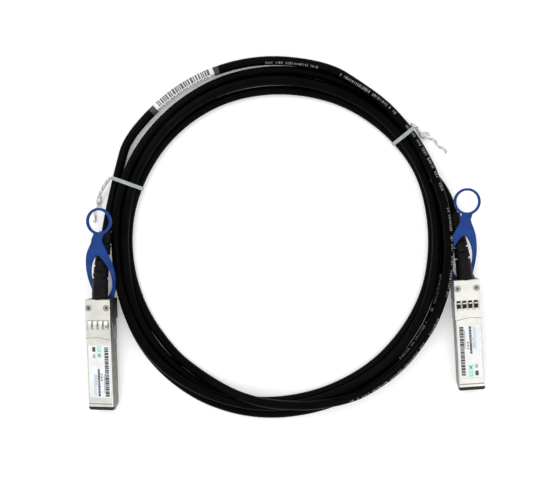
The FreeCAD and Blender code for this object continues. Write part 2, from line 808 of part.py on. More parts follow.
def pullTab(name, side):
    # The tab's outline seen from above, cut from a slab, and met with a ribbon that
    # rises from the legs, over the boot, to the ring.
    legShift, yokeShift, crotchShift, neckShift, ringShift = [
        getattr(s, side + part + "Shift") for part in ("Leg", "Yoke", "Crotch", "Neck", "Ring")]

    plan = newBody(name + "Plan")
    low = -s.headDrop
    high = s.tabRise * 2
    inside = s.yokeBow - s.yokeBand
    leave = s.headLength + 0.1
    neck = s.neckWidth / 2
    ringEdge = s.ringCentre - s.ringRadius + s.ringBand
    outlines = [[
        (-s.legOuter, barEnd), (-s.legInner, barEnd), (-s.legInner, leave),
        (legShift - s.legSplay, s.legEnd),
        ("arc", yokeShift - inside, s.yokeMiddle),
        (crotchShift, s.crotch),
        ("arc", yokeShift + inside, s.yokeMiddle),
        (legShift + s.legSplay, s.legEnd),
        (s.legInner, leave), (s.legInner, barEnd), (s.legOuter, barEnd), (s.legOuter, leave),
        (legShift + s.legOuter, s.legEnd),
        ("arc", yokeShift + s.yokeBow, s.yokeMiddle),
        (neckShift + neck + 0.4, s.neckStart),
        (neckShift + neck, s.neckStart + 2),
        (ringShift + neck, ringEdge),
        (ringShift - neck, ringEdge),
        (neckShift - neck, s.neckStart + 2),
        (neckShift - neck - 0.4, s.neckStart),
        ("arc", yokeShift - s.yokeBow, s.yokeMiddle),
        (legShift - s.legOuter, s.legEnd),
        (-s.legOuter, leave),
    ]]
    block(plan, "Pad", "Yoke", "XY_Plane", low, high, outlines)
    centre = (ringShift, s.ringCentre)
    block(plan, "Pad", "RingDisc", "XY_Plane", low, high, circles=[(*centre, s.ringRadius)])
    block(plan, "Pocket", "RingHole", "XY_Plane", low - 1, high + 1,
          circles=[(*centre, s.ringRadius - s.ringBand)])
    roundEdges(plan, "NeckCorners", s.neckWidth / 2,
               lambda e: runsAlong(e, ALONG_Z)
               and abs(e.CenterOfMass.y - float(s.neckStart)) < 0.01)
    roundEdges(plan, "Crotch", s.crotchRound,
               lambda e: runsAlong(e, ALONG_Z)
               and abs(e.CenterOfMass.y - float(s.crotch)) < 0.01)

    ribbon = newBody(name + "Side")
    last = s.ringCentre + s.ringRadius + 1
    block(ribbon, "Pad", "Ribbon", "YZ_Plane", -s.yokeBow * 2, s.yokeBow * 2, [[
        (barEnd, legLow), (s.riseStart, legLow), (s.riseEnd, legLow + s.tabRise),
        (last, legLow + s.tabRise), (last, legHigh + s.tabRise),
        (s.riseEnd, legHigh + s.tabRise), (s.riseStart, legHigh), (barEnd, legHigh),
    ]])
    roundEdges(ribbon, "Bends", s.riseRound,
               lambda e: runsAlong(e, ALONG_X)
               and (abs(e.CenterOfMass.y - float(s.riseStart)) < 0.01
                    or abs(e.CenterOfMass.y - float(s.riseEnd)) < 0.01))
    tab = doc.addObject("Part::MultiCommon", name + "Ribbon")
    tab.Shapes = [plan, ribbon]
    # slots moulded round the slider's wings
    wings = newBody(name + "Wings")
    block(wings, "Pad", "Wings", "XY_Plane", s.sliderHeight, sliderTop, [
        rectangle(-s.wingInner - s.wingWidth, -s.wingInner, barEnd - 1, barEnd + s.wingLength),
        rectangle(s.wingInner, s.wingInner + s.wingWidth, barEnd - 1, barEnd + s.wingLength),
    ][:1])
    mirror = newBody(name + "WingsOther")
    block(mirror, "Pad", "Wings", "XY_Plane", s.sliderHeight, sliderTop, [
        rectangle(s.wingInner, s.wingInner + s.wingWidth, barEnd - 1, barEnd + s.wingLength),
    ])
    doc.recompute()
    first = combine("Cut", name + "OneSlot", tab, wings)
    both = combine("Cut", name, first, mirror)
    finish(name, both)
    return both


def bootSpot(side, down, along):
    # where the boot's bent centre line is, this far from the head: two arcs in one plane
    total = math.radians(math.hypot(float(side), float(down)))
    aside = Vector(float(side), 0, -float(down)).normalize()
    first = total * float(s.bendShare)
    length = float(s.bendLength)
    spot = Vector(0, float(s.headLength), float(s.cableHeight))
    turned = 0.0
    for size, angle in ((min(along, length), first),
                        (max(0.0, along - length), total - first)):
        whole = length if angle == first else float(s.bootLength) - length
        radius = whole / angle
        turn = size / radius
        forward = ALONG_Y * math.cos(turned) + aside * math.sin(turned)
        inward = aside * math.cos(turned) - ALONG_Y * math.sin(turned)
        spot = spot + forward * (radius * math.sin(turn)) + inward * (radius * (1 - math.cos(turn)))
        turned += turn
    return Placement(spot, Rotation(ALONG_Y.cross(aside), math.degrees(turned)))


def bootLine(side, down, end, start=0.0):
    # the centre line as two arc edges
    bend = float(s.bendLength)
    edges = []
    for low, high in ((start, bend), (bend, end)):
        spots = [bootSpot(side, down, low + (high - low) * part).Base for part in (0, 0.5, 1)]
        edges.append(Part.Arc(*spots).toShape())
    return edges


def bootRadius(along):
    return s.bootRootRadius + (s.bootTipRadius - s.bootRootRadius) * (along / s.bootLength)


def boot(name, side, down):
    # five rings, each a little slimmer than the one before it, slotted so that they bend
    length = float(s.bootLength)
    pitch = float(s.slotPitch)
    bend = float(s.bendLength)
    stations = [float(s.bootGap), bend, bend + pitch, bend + pitch * 2, bend + pitch * 3, length]
    rings = []
    for number, (low, high) in enumerate(zip(stations, stations[1:])):
        start = bootSpot(side, down, low).Base
        along = bootSpot(side, down, high).Base - start
        # each reaches a little into the one before it
        reach = 0.0 if number == 0 else float(s.ringOverlap)
        ring = doc.addObject("Part::Cylinder", f"{name}Ring{number}")
        ring.setExpression("Radius", bootRadius(zero + low).text)
        ring.Height = along.Length + reach
        heading = Vector(along).normalize()
        ring.Placement = Placement(start - heading * reach, Rotation(ALONG_Z, heading))
        rings.append(ring)
    skin = doc.addObject("Part::MultiFuse", name + "Skin")
    skin.Shapes = rings

    cuts = []
    count = int(float(s.slotCount))
    for number in range(count):
        station = float(s.slotStart) + number * pitch
        cuts += slotPair(name + f"Side{number}", side, down, station, True)
    for number in range(count - 1):
        station = float(s.slotStart) + (number + 0.5) * pitch
        cuts += slotPair(name + f"Face{number}", side, down, station, False)
    line = bootLine(side, down, length + 1.0, -1.0)
    bore = feature(name + "Bore", tube(line, float(s.cableRadius) + float(s.boreClearance)))
    cuts.append(bore)
    # the first ring leans, and ends flat against the head
    face = doc.addObject("Part::Box", name + "RootFace")
    wide = s.bootRootRadius * 3
    face.setExpression("Length", wide.text)
    face.setExpression("Height", wide.text)
    face.setExpression("Width", s.headLength.text)
    face.Placement.Base = Vector(-float(wide) / 2, float(s.bootGap), float(s.cableHeight - wide / 2))
    cuts.append(face)
    tools = doc.addObject("Part::Compound", name + "Cuts")
    tools.Links = cuts
    item = combine("Cut", name, skin, tools)
    finish(name, item)
    return item


def slotPair(name, side, down, station, sideways):
    # two opposite slots across the boot: left and right, or top and underside
    boxes = []
    for number, sign in enumerate((-1, 1)):
        box = doc.addObject("Part::Box", f"{name}Slot{number}")
        size = s.bootRootRadius * 2
        box.setExpression("Length", size.text)
        box.setExpression("Width", s.slotWidth.text)
        box.setExpression("Height", size.text)
        near = float(bootRadius(zero + station)) - float(s.slotDepth)
        across = near if sign > 0 else -near - float(size)
        middle = -float(size) / 2
        corner = Vector(across, 0, middle) if sideways else Vector(middle, 0, across)
        corner.y = -float(s.slotWidth) / 2
        box.Placement = bootSpot(side, down, station).multiply(Placement(corner, Rotation()))
        boxes.append(box)
    return boxes


def ferrule(name):
    body = newBody(name)
    block(body, "Pad", "Barrel", "XZ_Plane", ferruleStart, s.headLength,
          circles=[(zero, s.cableHeight, s.ferruleRadius)])
    block(body, "Pocket", "Bore", "XZ_Plane", ferruleStart - 1, s.headLength + 1,
          circles=[(zero, s.cableHeight, s.cableRadius)])
    finish(name, body)
    return body


def heldCable(name, side, down):
    # the end of the jacket, held in the ferrule and the boot
    start = Vector(0, float(s.cableEntry), float(s.cableHeight))
    head = Vector(0, float(s.headLength), float(s.cableHeight))
    straight = Part.LineSegment(start, head).toShape()
    bent = bootLine(side, down, float(s.bootLength))
    item = feature(name, tube([straight] + bent, float(s.cableRadius)))
    finish(name, item)
    return item


def conductors(name):
    # four wires from the jacket's end to the two faces of the paddle card
    radius = float(s.wireRadius)
    start = float(s.cableEntry)
    card = -float(s.cardSetback)
    wires = []
    for x in (-1, 1):
        for z in (-1, 1):
            aside = x * float(s.wireSpread)
            level = float(s.cableHeight) + z * float(s.wireSpread) * 0.8
            landing = float(cardTop) + radius if z > 0 else float(s.cardLevel) - radius
            points = [
                (aside, start, level),
                (aside * 1.1, start - 1.6, level + (landing - level) * 0.25),
                (aside * 1.5, card + 1.3, landing),
                (aside * 1.5, card - float(s.wireReach), landing),
            ]
            wires.append(bentBar(points, radius))
    item = feature(name, Part.makeCompound(wires))
    finish(name, item)
    return item


def paddleCard(name):
    body = newBody(name)
    far = s.cardRecess - s.stopLength
    wide = s.cardWidth / 2
    slim = s.cardEdgeWidth / 2
    step = far + s.cardEdgeLength
    block(body, "Pad", "Card", "XY_Plane", s.cardLevel, cardTop, [[
        (-wide, -s.cardSetback), (wide, -s.cardSetback), (wide, step), (slim, step),
        (slim, far), (-slim, far), (-slim, step), (-wide, step),
    ]])
    roundEdges(body, "LeadingEdge", s.cardThickness * 0.2,
               lambda e: runsAlong(e, ALONG_X) and abs(e.CenterOfMass.y - float(far)) < 0.01,
               "Chamfer")
    finish(name, body)
    return body


def idChip(name):
    body = newBody(name)
    wide = s.chipWidth / 2
    block(body, "Pad", "Chip", "XY_Plane", cardTop, cardTop + s.chipHeight,
          [rectangle(-wide, wide, -s.chipPlace, s.chipLength - s.chipPlace)])
    finish(name, body)
    return body


def noseInsert(name):
    # black insulating bar across the end, with a tongue held under the cover
    body = newBody(name)
    half = s.bodyWidth / 2
    end = -s.stopLength
    block(body, "Pad", "Bar", "YZ_Plane", -half, half, [[
        (coverEnd, noseSeat), (coverEnd, s.bodyHeight), (coverEnd - 0.5, s.bodyHeight),
        (end, s.bodyHeight - s.noseDepth / 2), (end, noseSeat),
    ]])
    roundEdges(body, "Corners", s.noseRound,
               lambda e: runsAlong(e, ALONG_Z) and abs(e.CenterOfMass.y - float(end)) < 0.01)
    inner = innerHalf - s.labelMargin
    block(body, "Pad", "Tongue", "XY_Plane", coverInside - s.coverWall, coverInside,
          [rectangle(-inner, inner, coverEnd - 0.2, coverEnd + s.noseTongue)])
    finish(name, body)
    return body


def faceLabel(name):
    body = newBody(name)
    half = s.labelWidth / 2
    floor = s.bodyHeight - s.labelRecess
    block(body, "Pad", "Sheet", "XY_Plane", floor, floor + s.labelThickness,
          [rectangle(-half, half, -s.labelStart - s.labelLength, -s.labelStart)])
    finish(name, body)
    return body


def connector(side):
    x, y, turn, roll, bootSide, bootDown = [
        getattr(s, side + part) for part in ("X", "Y", "Turn", "Roll", "BootSide", "BootDown")]
    before = set(finished)
    base = baseShell(side + "_base_shell")
    topCover(side + "_top_cover")
    collar(side + "_emi_collar")
    coverScrews(side + "_cover_screws")
    latchSlider(side + "_latch_slider")
    returnSpring(side + "_return_spring")
    pullTab(side + "_pull_tab", side)
    boot(side + "_boot", bootSide, bootDown)
    ferrule(side + "_crimp_ferrule")
    heldCable(side + "_cable_end", bootSide, bootDown)
    conductors(side + "_conductors")
    paddleCard(side + "_paddle_card")
    idChip(side + "_id_chip")
    noseInsert(side + "_nose_insert")
    faceLabel(side + "_face_label")
    # rolled about its own length, pitched on the step of its head, turned, and set down
    rest = Rotation(ALONG_Z, float(turn)).multiply(
        Rotation(ALONG_X, float(s.pitch))).multiply(Rotation(ALONG_Y, float(roll)))
    tilted = base.Shape.copy()
    tilted.Placement = Placement(Vector(), rest)
    lowest = tilted.optimalBoundingBox(False, False).ZMin
    place = Placement(Vector(float(x), float(y), float(s.floorGap) - lowest), rest)
    for name in sorted(set(finished) - before):
        finished[name].Placement = place
    tip = place.multiply(bootSpot(bootSide, bootDown, float(s.bootLength)))
    heading = tip.Rotation.multVec(ALONG_Y)
    print(f"{side} boot tip {tip.Base.x:.2f} {tip.Base.y:.2f} {tip.Base.z:.2f} "
          f"heading {heading.x:.3f} {heading.y:.3f} {heading.z:.3f}")
    for what, spot in (("shoulder", Vector(0, 0, -1.6)),
                       ("finger ring", Vector(float(getattr(s, side + "RingShift")), float(s.ringCentre),
                                              float(sliderMiddle + s.tabRise))),
                       ("plug end", Vector(0, -float(s.stopLength), float(s.cardLevel)))):
        at = place.multVec(spot)
        print(f"{side} {what} at {at.x:.3f} {at.y:.3f} {at.z:.3f}")
    along = rest.multVec(ALONG_Y)
    print(f"{side} insertion axis {-along.x:.6f} {-along.y:.6f} {-along.z:.6f}")
    return tip.Base, heading


# ---- cable, ties, sleeve label

def coil():
    body = newBody("cable_coil")
    innerRadius = s.coilOuterRadius - s.coilBundle
    block(body, "Pad", "Bundle", "XY_Plane", zero, s.coilHeight,
          circles=[(s.coilOuterX, s.coilOuterY, s.coilOuterRadius),
                   (s.coilInnerX, s.coilInnerY, innerRadius)])
    roundEdges(body, "RoundedBundle", s.coilRound, lambda e: True, "Chamfer")
    block(body, "Pad", "UpperTurns", "XY_Plane", s.coilHeight - s.coilRound, s.coilTop,
          circles=[(s.coilOuterX, s.coilOuterY, s.coilOuterRadius - s.coilOuterStep),
                   (s.coilInnerX, s.coilInnerY, innerRadius)])
    roundEdges(body, "RoundedUpperTurns", s.coilUpperRound,
               lambda e: abs(e.BoundBox.ZMin - float(s.coilTop)) < 0.01, "Chamfer")
    flatX = s.coilOuterX + s.coilOuterRadius - s.coilFlatDepth
    far = flatX + s.coilOuterRadius / 2
    block(body, "Pocket", "BesideBoot", "XY_Plane", -s.coilHeight, s.coilTop + s.coilHeight,
          [rectangle(flatX, far, s.coilFlatLow, s.coilFlatTop)])
    return body


def tiePlace(angle):
    # on the bundle at a clock angle from +Y, with x outwards along the radius
    turn = math.radians(90 - float(angle))
    outwards = Vector(math.cos(turn), math.sin(turn), 0)
    return Placement(Vector(float(s.coilCentreX), float(s.coilCentreY), 0),
                     Rotation(ALONG_X, outwards))


def tie(name, angle, inside, outside, tails):
    gap = s.tieClearance
    thick = s.tieThickness
    top = thick + s.coilTop + gap * 2 + s.tieSlack
    band = newBody(name + "Band")
    half = s.tieWidth / 2
    block(band, "Pad", "Loop", "XZ_Plane", -half, half, [
        rectangle(inside - thick, outside + thick, zero, top + thick)])
    block(band, "Pocket", "Bundle", "XZ_Plane", -half - 1, half + 1, [
        rectangle(inside, outside, thick, top)])
    left = float(inside - thick) + 0.01
    right = float(outside + thick) - 0.01
    roundEdges(band, "BundleCorners", s.tieRound,
               lambda e: runsAlong(e, ALONG_Y) and left < e.CenterOfMass.x < right)
    roundEdges(band, "LoopCorners", s.tieRound + thick,
               lambda e: runsAlong(e, ALONG_Y) and not left < e.CenterOfMass.x < right)
    place = tiePlace(angle)
    band.Placement = place
    pieces = [band]
    for number, points in enumerate(tails):
        radius = float(s.twistRadius if number == 0 else s.tailRadius)
        pieces.append(feature(f"{name}Tail{number}", bentBar(points, radius)))
    whole = doc.addObject("Part::MultiFuse", name)
    whole.Shapes = pieces
    doc.recompute()
    finish(name, whole)
    return whole


def tieGroove(name, angle, inside, outside):
    # room under and over the bundle for a tie's band
    half = s.tieWidth / 2 + s.tieClearance
    place = tiePlace(angle)
    reach = (outside - inside) / 2 + s.tieThickness + 1
    middle = (outside + inside) / 2
    groove = doc.addObject("Part::Box", name)
    groove.setExpression("Length", (reach * 2).text)
    groove.setExpression("Width", (half * 2).text)
    groove.setExpression("Height", (s.tieThickness + s.tieClearance).text)
    corner = Vector(float(middle - reach), -float(half), 0)
    groove.Placement = place.multiply(Placement(corner, Rotation()))
    return groove


def routeFrom(tip, heading, run, points):
    start = tip + heading * float(s.leadGap)
    return [start, tip + heading * run] + [Vector(*point) for point in points]


def cable(leftExit, rightExit):
    leftEdges, leftRadii = roundedPath(routeFrom(*leftExit, LEFT_RUN, LEFT_ROUTE))
    rightEdges, rightRadii = roundedPath(routeFrom(*rightExit, RIGHT_RUN, RIGHT_ROUTE))
    radius = float(s.cableRadius)
    left = feature("left_lead", tube(leftEdges, radius))
    right = feature("right_lead", tube(rightEdges, radius))
    finish("left_lead", left)
    finish("right_lead", right)
    checkTube("left_lead", left.Shape, leftEdges, radius)
    checkTube("right_lead", right.Shape, rightEdges, radius)
    print("left bend radii", [round(r, 1) for r in leftRadii])
    print("right bend radii", [round(r, 1) for r in rightRadii])

    bundle = coil()
    rim = s.coilOuterRadius
    bands = [("left", s.leftTieAngle, rim - s.leftTieUnder, rim + s.leftTieOver, LEFT_TAILS),
             ("right", s.rightTieAngle, rim - s.rightTieUnder, rim + s.rightTieOver, RIGHT_TAILS)]
    grooves = [tieGroove(side + "Groove", angle, inside, outside)
               for side, angle, inside, outside, tails in bands]
    tools = doc.addObject("Part::Compound", "TieGrooves")
    tools.Links = grooves
    ring = combine("Cut", "cable_coil_tied", bundle, tools)
    finish("cable_coil", ring)
    for side, angle, inside, outside, tails in bands:
        tie(side + "_tie", angle, inside, outside, tails)

    # the printed sleeve and the clear shrink tube over it, on one bend of the cable
    bend = leftEdges[LABEL_CORNER * 2 - 1]
    before = leftEdges[LABEL_CORNER * 2 - 2]
    after = leftEdges[LABEL_CORNER * 2]
    inner = radius + float(s.sleeveClearance)
    outer = inner + float(s.sleeveWall)
    finish("cable_label", feature("cable_label", tube([bend], outer, inner)))
    overhang = float(s.shrinkOverhang)
    lead = bend.valueAt(bend.FirstParameter)
    trail = bend.valueAt(bend.LastParameter)
    run = bend.tangentAt(bend.FirstParameter)
    leave = bend.tangentAt(bend.LastParameter)
    longer = [Part.LineSegment(lead - run * overhang, lead).toShape(), bend,
              Part.LineSegment(trail, trail + leave * overhang).toShape()]
    clear = outer + float(s.sleeveClearance)
    finish("label_shrink", feature("label_shrink",
                                   tube(longer, clear + float(s.shrinkWall), clear)))
    print(f"label sleeve {bend.Length:.1f}, straights beside it {before.Length:.1f} "
          f"and {after.Length:.1f}")


leftExit = connector("left")
rightExit = connector("right")
cable(leftExit, rightExit)
doc.recompute()

# ---- checks and export

faults = []
for item in doc.Objects:
    if "Invalid" in item.State or "Error" in item.State:
        faults.append(f"{item.Name}: {item.State}")
for name, item in finished.items():
    if item.Shape.isNull() or not item.Shape.isValid() or not item.Shape.Solids:
        faults.append(f"{name}: no valid solid")
if faults:
    raise RuntimeError("; ".join(faults))

os.makedirs("parts", exist_ok=True)
for name, item in finished.items():
    item.Shape.exportStep(f"parts/{name}.step")
    box = item.Shape.BoundBox
    print(f"{name}: {len(item.Shape.Solids)} solid(s), {item.Shape.Volume:.1f} mm3, "
          f"x {box.XMin:.1f}..{box.XMax:.1f} y {box.YMin:.1f}..{box.YMax:.1f} "
          f"z {box.ZMin:.2f}..{box.ZMax:.2f}")
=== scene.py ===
import math
import random
import bpy
import bmesh
from mathutils import Matrix, Vector


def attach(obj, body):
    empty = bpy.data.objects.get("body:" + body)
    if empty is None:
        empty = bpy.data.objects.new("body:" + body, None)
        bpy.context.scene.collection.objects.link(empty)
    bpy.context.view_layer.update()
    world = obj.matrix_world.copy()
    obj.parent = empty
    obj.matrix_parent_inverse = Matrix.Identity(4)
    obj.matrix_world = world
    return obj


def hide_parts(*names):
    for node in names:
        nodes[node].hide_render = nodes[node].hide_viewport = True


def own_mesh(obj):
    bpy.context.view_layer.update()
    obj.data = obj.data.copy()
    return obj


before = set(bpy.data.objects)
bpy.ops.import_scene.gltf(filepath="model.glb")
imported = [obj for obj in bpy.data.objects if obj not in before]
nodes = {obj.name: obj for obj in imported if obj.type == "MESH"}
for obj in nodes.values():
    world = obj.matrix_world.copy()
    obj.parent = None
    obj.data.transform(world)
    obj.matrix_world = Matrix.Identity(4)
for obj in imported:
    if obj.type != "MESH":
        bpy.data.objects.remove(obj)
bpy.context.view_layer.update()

millimetre = 0.001
print("frame loaded:", len(nodes), "solids")


# finishes: colour and roughness vary through noise in object space,
# and values that are the same all over sit on the shader itself
def newFinish(name, **values):
    finish = bpy.data.materials.new(name)
    finish.use_nodes = True
    shader = finish.node_tree.nodes["Principled BSDF"]
    for socket, value in values.items():
        shader.inputs[socket.replace("_", " ")].default_value = value
    return finish


def grain(finish, size, detail=3.0):
    tree = finish.node_tree
    where = tree.nodes.new("ShaderNodeTexCoord")
    noise = tree.nodes.new("ShaderNodeTexNoise")
    noise.inputs["Scale"].default_value = 1 / size
    noise.inputs["Detail"].default_value = detail
    tree.links.new(where.outputs["Object"], noise.inputs["Vector"])
    return noise.outputs["Fac"]


def between(finish, factor, low, high, fromLow=0.3, fromHigh=0.7):
    tree = finish.node_tree
    span = tree.nodes.new("ShaderNodeMapRange")
    span.inputs["From Min"].default_value = fromLow
    span.inputs["From Max"].default_value = fromHigh
    span.inputs["To Min"].default_value = low
    span.inputs["To Max"].default_value = high
    tree.links.new(factor, span.inputs["Value"])
    return span.outputs["Result"]


def shade(finish, factor, dark, light):
    tree = finish.node_tree
    ramp = tree.nodes.new("ShaderNodeValToRGB")
    stops = ((0.35, dark), (0.65, light))
    for mark, (position, colour) in zip(ramp.color_ramp.elements, stops):
        mark.position = position
        mark.color = (*colour, 1)
    tree.links.new(factor, ramp.inputs["Fac"])
    return ramp.outputs["Color"]


def into(finish, output, socket):
    tree = finish.node_tree
    tree.links.new(output, tree.nodes["Principled BSDF"].inputs[socket])


def relief(finish, height, depth):
    tree = finish.node_tree
    bump = tree.nodes.new("ShaderNodeBump")
    bump.inputs["Distance"].default_value = depth
    bump.inputs["Strength"].default_value = 1.0
    tree.links.new(height, bump.inputs["Height"])
    into(finish, bump.outputs["Normal"], "Normal")


def plainFinish(name, dark, light, patch, roughness, fine, depth, **values):
    finish = newFinish(name, **values)
    into(finish, shade(finish, grain(finish, patch, 4), dark, light), "Base Color")
    into(finish, between(finish, grain(finish, patch * 0.4), *roughness), "Roughness")
    relief(finish, grain(finish, fine, 2), depth)
    return finish


# how far a surface faces up
def upward(finish):
    tree = finish.node_tree
    where = tree.nodes.new("ShaderNodeTexCoord")
    parts = tree.nodes.new("ShaderNodeSeparateXYZ")
    tree.links.new(where.outputs["Normal"], parts.inputs["Vector"])
    return parts.outputs["Z"]


metals = {
    "screwSteel": dict(dark=(0.36, 0.36, 0.33), light=(0.52, 0.52, 0.48), patch=0.0012,
                       roughness=(0.26, 0.42), fine=0.00025, depth=0.00001),
    "springSteel": dict(dark=(0.50, 0.50, 0.50), light=(0.68, 0.68, 0.67), patch=0.003,
                        roughness=(0.2, 0.34), fine=0.0003, depth=0.000006),
    "copperWire": dict(dark=(0.62, 0.30, 0.17), light=(0.80, 0.44, 0.27), patch=0.002,
                       roughness=(0.24, 0.4), fine=0.0003, depth=0.00001),
}
finishes = {name: plainFinish(name, Metallic=1.0, **look) for name, look in metals.items()}


# nickel on castings and stampings: bright on the upper face, with painted shade making it darker
# down the sides
def nickelShadedSides(name, sides, top, roughness, fine, depth):
    finish = newFinish(name, Metallic=1.0)
    mixer = finish.node_tree.nodes.new("ShaderNodeMix")
    mixer.data_type = "RGBA"
    links, tone = finish.node_tree.links, grain(finish, 0.005, 4)
    # painted shade: the side colours take over where the surface turns away from facing up
    links.new(between(finish, upward(finish), 0.0, 1.0, 0.25, 0.85), mixer.inputs["Factor"])
    links.new(shade(finish, tone, *sides), mixer.inputs["A"])
    links.new(shade(finish, tone, *top), mixer.inputs["B"])
    into(finish, mixer.outputs["Result"], "Base Color")
    into(finish, between(finish, grain(finish, 0.002), *roughness), "Roughness")
    relief(finish, grain(finish, fine, 2), depth)
    finishes[name] = finish


# the side colours below are painted shade, far darker than the metal's own tone
nickelShadedSides("castNickel",
       sides=((0.15, 0.15, 0.135), (0.22, 0.22, 0.20)),
       top=((0.64, 0.63, 0.58), (0.72, 0.71, 0.66)),
       roughness=(0.34, 0.5), fine=0.0005, depth=0.00002)
nickelShadedSides("coverNickel",
       sides=((0.20, 0.20, 0.18), (0.28, 0.28, 0.25)),
       top=((0.69, 0.68, 0.625), (0.77, 0.76, 0.70)),
       roughness=(0.34, 0.46), fine=0.0004, depth=0.00001)
nickelShadedSides("collarSteel",
       sides=((0.24, 0.24, 0.22), (0.34, 0.34, 0.31)),
       top=((0.68, 0.67, 0.62), (0.75, 0.74, 0.69)),
       roughness=(0.36, 0.46), fine=0.0003, depth=0.000006)

plastics = {
    "tabBlue": dict(dark=(0.003, 0.030, 0.165), light=(0.005, 0.043, 0.225), patch=0.006,
                    roughness=(0.34, 0.46), fine=0.0006, depth=0.00002, Specular_IOR_Level=0.22),
    "bootRubber": dict(dark=(0.002, 0.002, 0.003), light=(0.005, 0.005, 0.006), patch=0.004,
                       roughness=(0.36, 0.5), fine=0.0005, depth=0.00003, Specular_IOR_Level=0.1),
    "insertBlack": dict(dark=(0.008, 0.008, 0.009), light=(0.016, 0.016, 0.017), patch=0.003,
                        roughness=(0.38, 0.52), fine=0.0004, depth=0.00002,
                        Specular_IOR_Level=0.15),
    "chipBlack": dict(dark=(0.010, 0.010, 0.011), light=(0.020, 0.020, 0.022), patch=0.002,
                      roughness=(0.5, 0.62), fine=0.0003, depth=0.00001),
    "boardGreen": dict(dark=(0.010, 0.090, 0.040), light=(0.016, 0.130, 0.060), patch=0.003,
                       roughness=(0.34, 0.46), fine=0.0006, depth=0.00001),
    "labelWhite": dict(dark=(0.70, 0.71, 0.72), light=(0.79, 0.80, 0.81), patch=0.004,
                       roughness=(0.42, 0.56), fine=0.0004, depth=0.000006),
    "inkDark": dict(dark=(0.035, 0.036, 0.038), light=(0.070, 0.070, 0.072), patch=0.0006,
                    roughness=(0.5, 0.6), fine=0.0003, depth=0.000004),
    "inkGrey": dict(dark=(0.30, 0.31, 0.32), light=(0.46, 0.47, 0.48), patch=0.0006,
                    roughness=(0.5, 0.6), fine=0.0003, depth=0.000004),
    "inkGreen": dict(dark=(0.28, 0.62, 0.46), light=(0.46, 0.76, 0.63), patch=0.0008,
                     roughness=(0.5, 0.6), fine=0.0003, depth=0.000004),
    "inkDeepGreen": dict(dark=(0.03, 0.24, 0.12), light=(0.06, 0.34, 0.19), patch=0.0008,
                    roughness=(0.5, 0.6), fine=0.0003, depth=0.000004),
    "inkBlue": dict(dark=(0.40, 0.52, 0.66), light=(0.56, 0.66, 0.78), patch=0.0008,
                    roughness=(0.5, 0.6), fine=0.0003, depth=0.000004),
    "shadowBlack": dict(dark=(0.010, 0.010, 0.009), light=(0.022, 0.021, 0.019), patch=0.001,
                        roughness=(0.5, 0.7), fine=0.0004, depth=0.000004, Specular_IOR_Level=0.1),
    # painted shade in finger gaps, round screw heads and on the nose bevel; also the collar seam
    # line
    "seamAndShadeGrey": dict(dark=(0.17, 0.17, 0.155), light=(0.27, 0.27, 0.25), patch=0.0015,
                     roughness=(0.45, 0.6), fine=0.0004, depth=0.000004),
    "tailPale": dict(dark=(0.52, 0.54, 0.52), light=(0.68, 0.70, 0.68), patch=0.003,
                     roughness=(0.3, 0.42), fine=0.0005, depth=0.00002),
    "tiePale": dict(dark=(0.30, 0.31, 0.31), light=(0.42, 0.43, 0.43), patch=0.003,
                    roughness=(0.3, 0.42), fine=0.0005, depth=0.00002, Subsurface_Weight=0.15),
    "cablePrint": dict(dark=(0.060, 0.060, 0.060), light=(0.26, 0.26, 0.25), patch=0.0012,
                       roughness=(0.5, 0.65), fine=0.0004, depth=0.000006),
}
for name, look in plastics.items():
    finishes[name] = plainFinish(name, **look)

# extruded cable jacket: a soft gloss, with faint wear in patches
finishes["cableJacket"] = plainFinish(
    "cableJacket", dark=(0.0006, 0.0006, 0.0007), light=(0.0015, 0.0015, 0.0017), patch=0.012,
    roughness=(0.26, 0.38), fine=0.0009, depth=0.00003, Specular_IOR_Level=0.032)
finishes["clearSleeve"] = plainFinish(
    "clearSleeve", dark=(0.80, 0.81, 0.81), light=(0.90, 0.91, 0.91), patch=0.006,
    roughness=(0.12, 0.22), fine=0.002, depth=0.00003, Alpha=0.07, IOR=1.45)
print("finishes made:", len(finishes))

nodeFinishes = {
    "base_shell": "castNickel", "top_cover": "coverNickel", "emi_collar": "collarSteel",
    "cover_screws": "screwSteel", "latch_slider": "springSteel", "return_spring": "springSteel",
    "pull_tab": "tabBlue", "boot": "bootRubber", "crimp_ferrule": "copperWire",
    "cable_end": "cableJacket", "conductors": "copperWire", "paddle_card": "boardGreen",
    "id_chip": "chipBlack", "nose_insert": "insertBlack", "face_label": "labelWhite",
    "left_lead": "cableJacket", "right_lead": "cableJacket", "cable_coil": "cableJacket",
    "left_tie": "tiePale", "right_tie": "tiePale",
    "cable_label": "labelWhite", "label_shrink": "clearSleeve",
}
for name, solid in nodes.items():
    kind = name if name in nodeFinishes else name.split("_", 1)[1]
    solid.data.materials.clear()
    solid.data.materials.append(finishes[nodeFinishes[kind]])
print("finishes given to every solid")


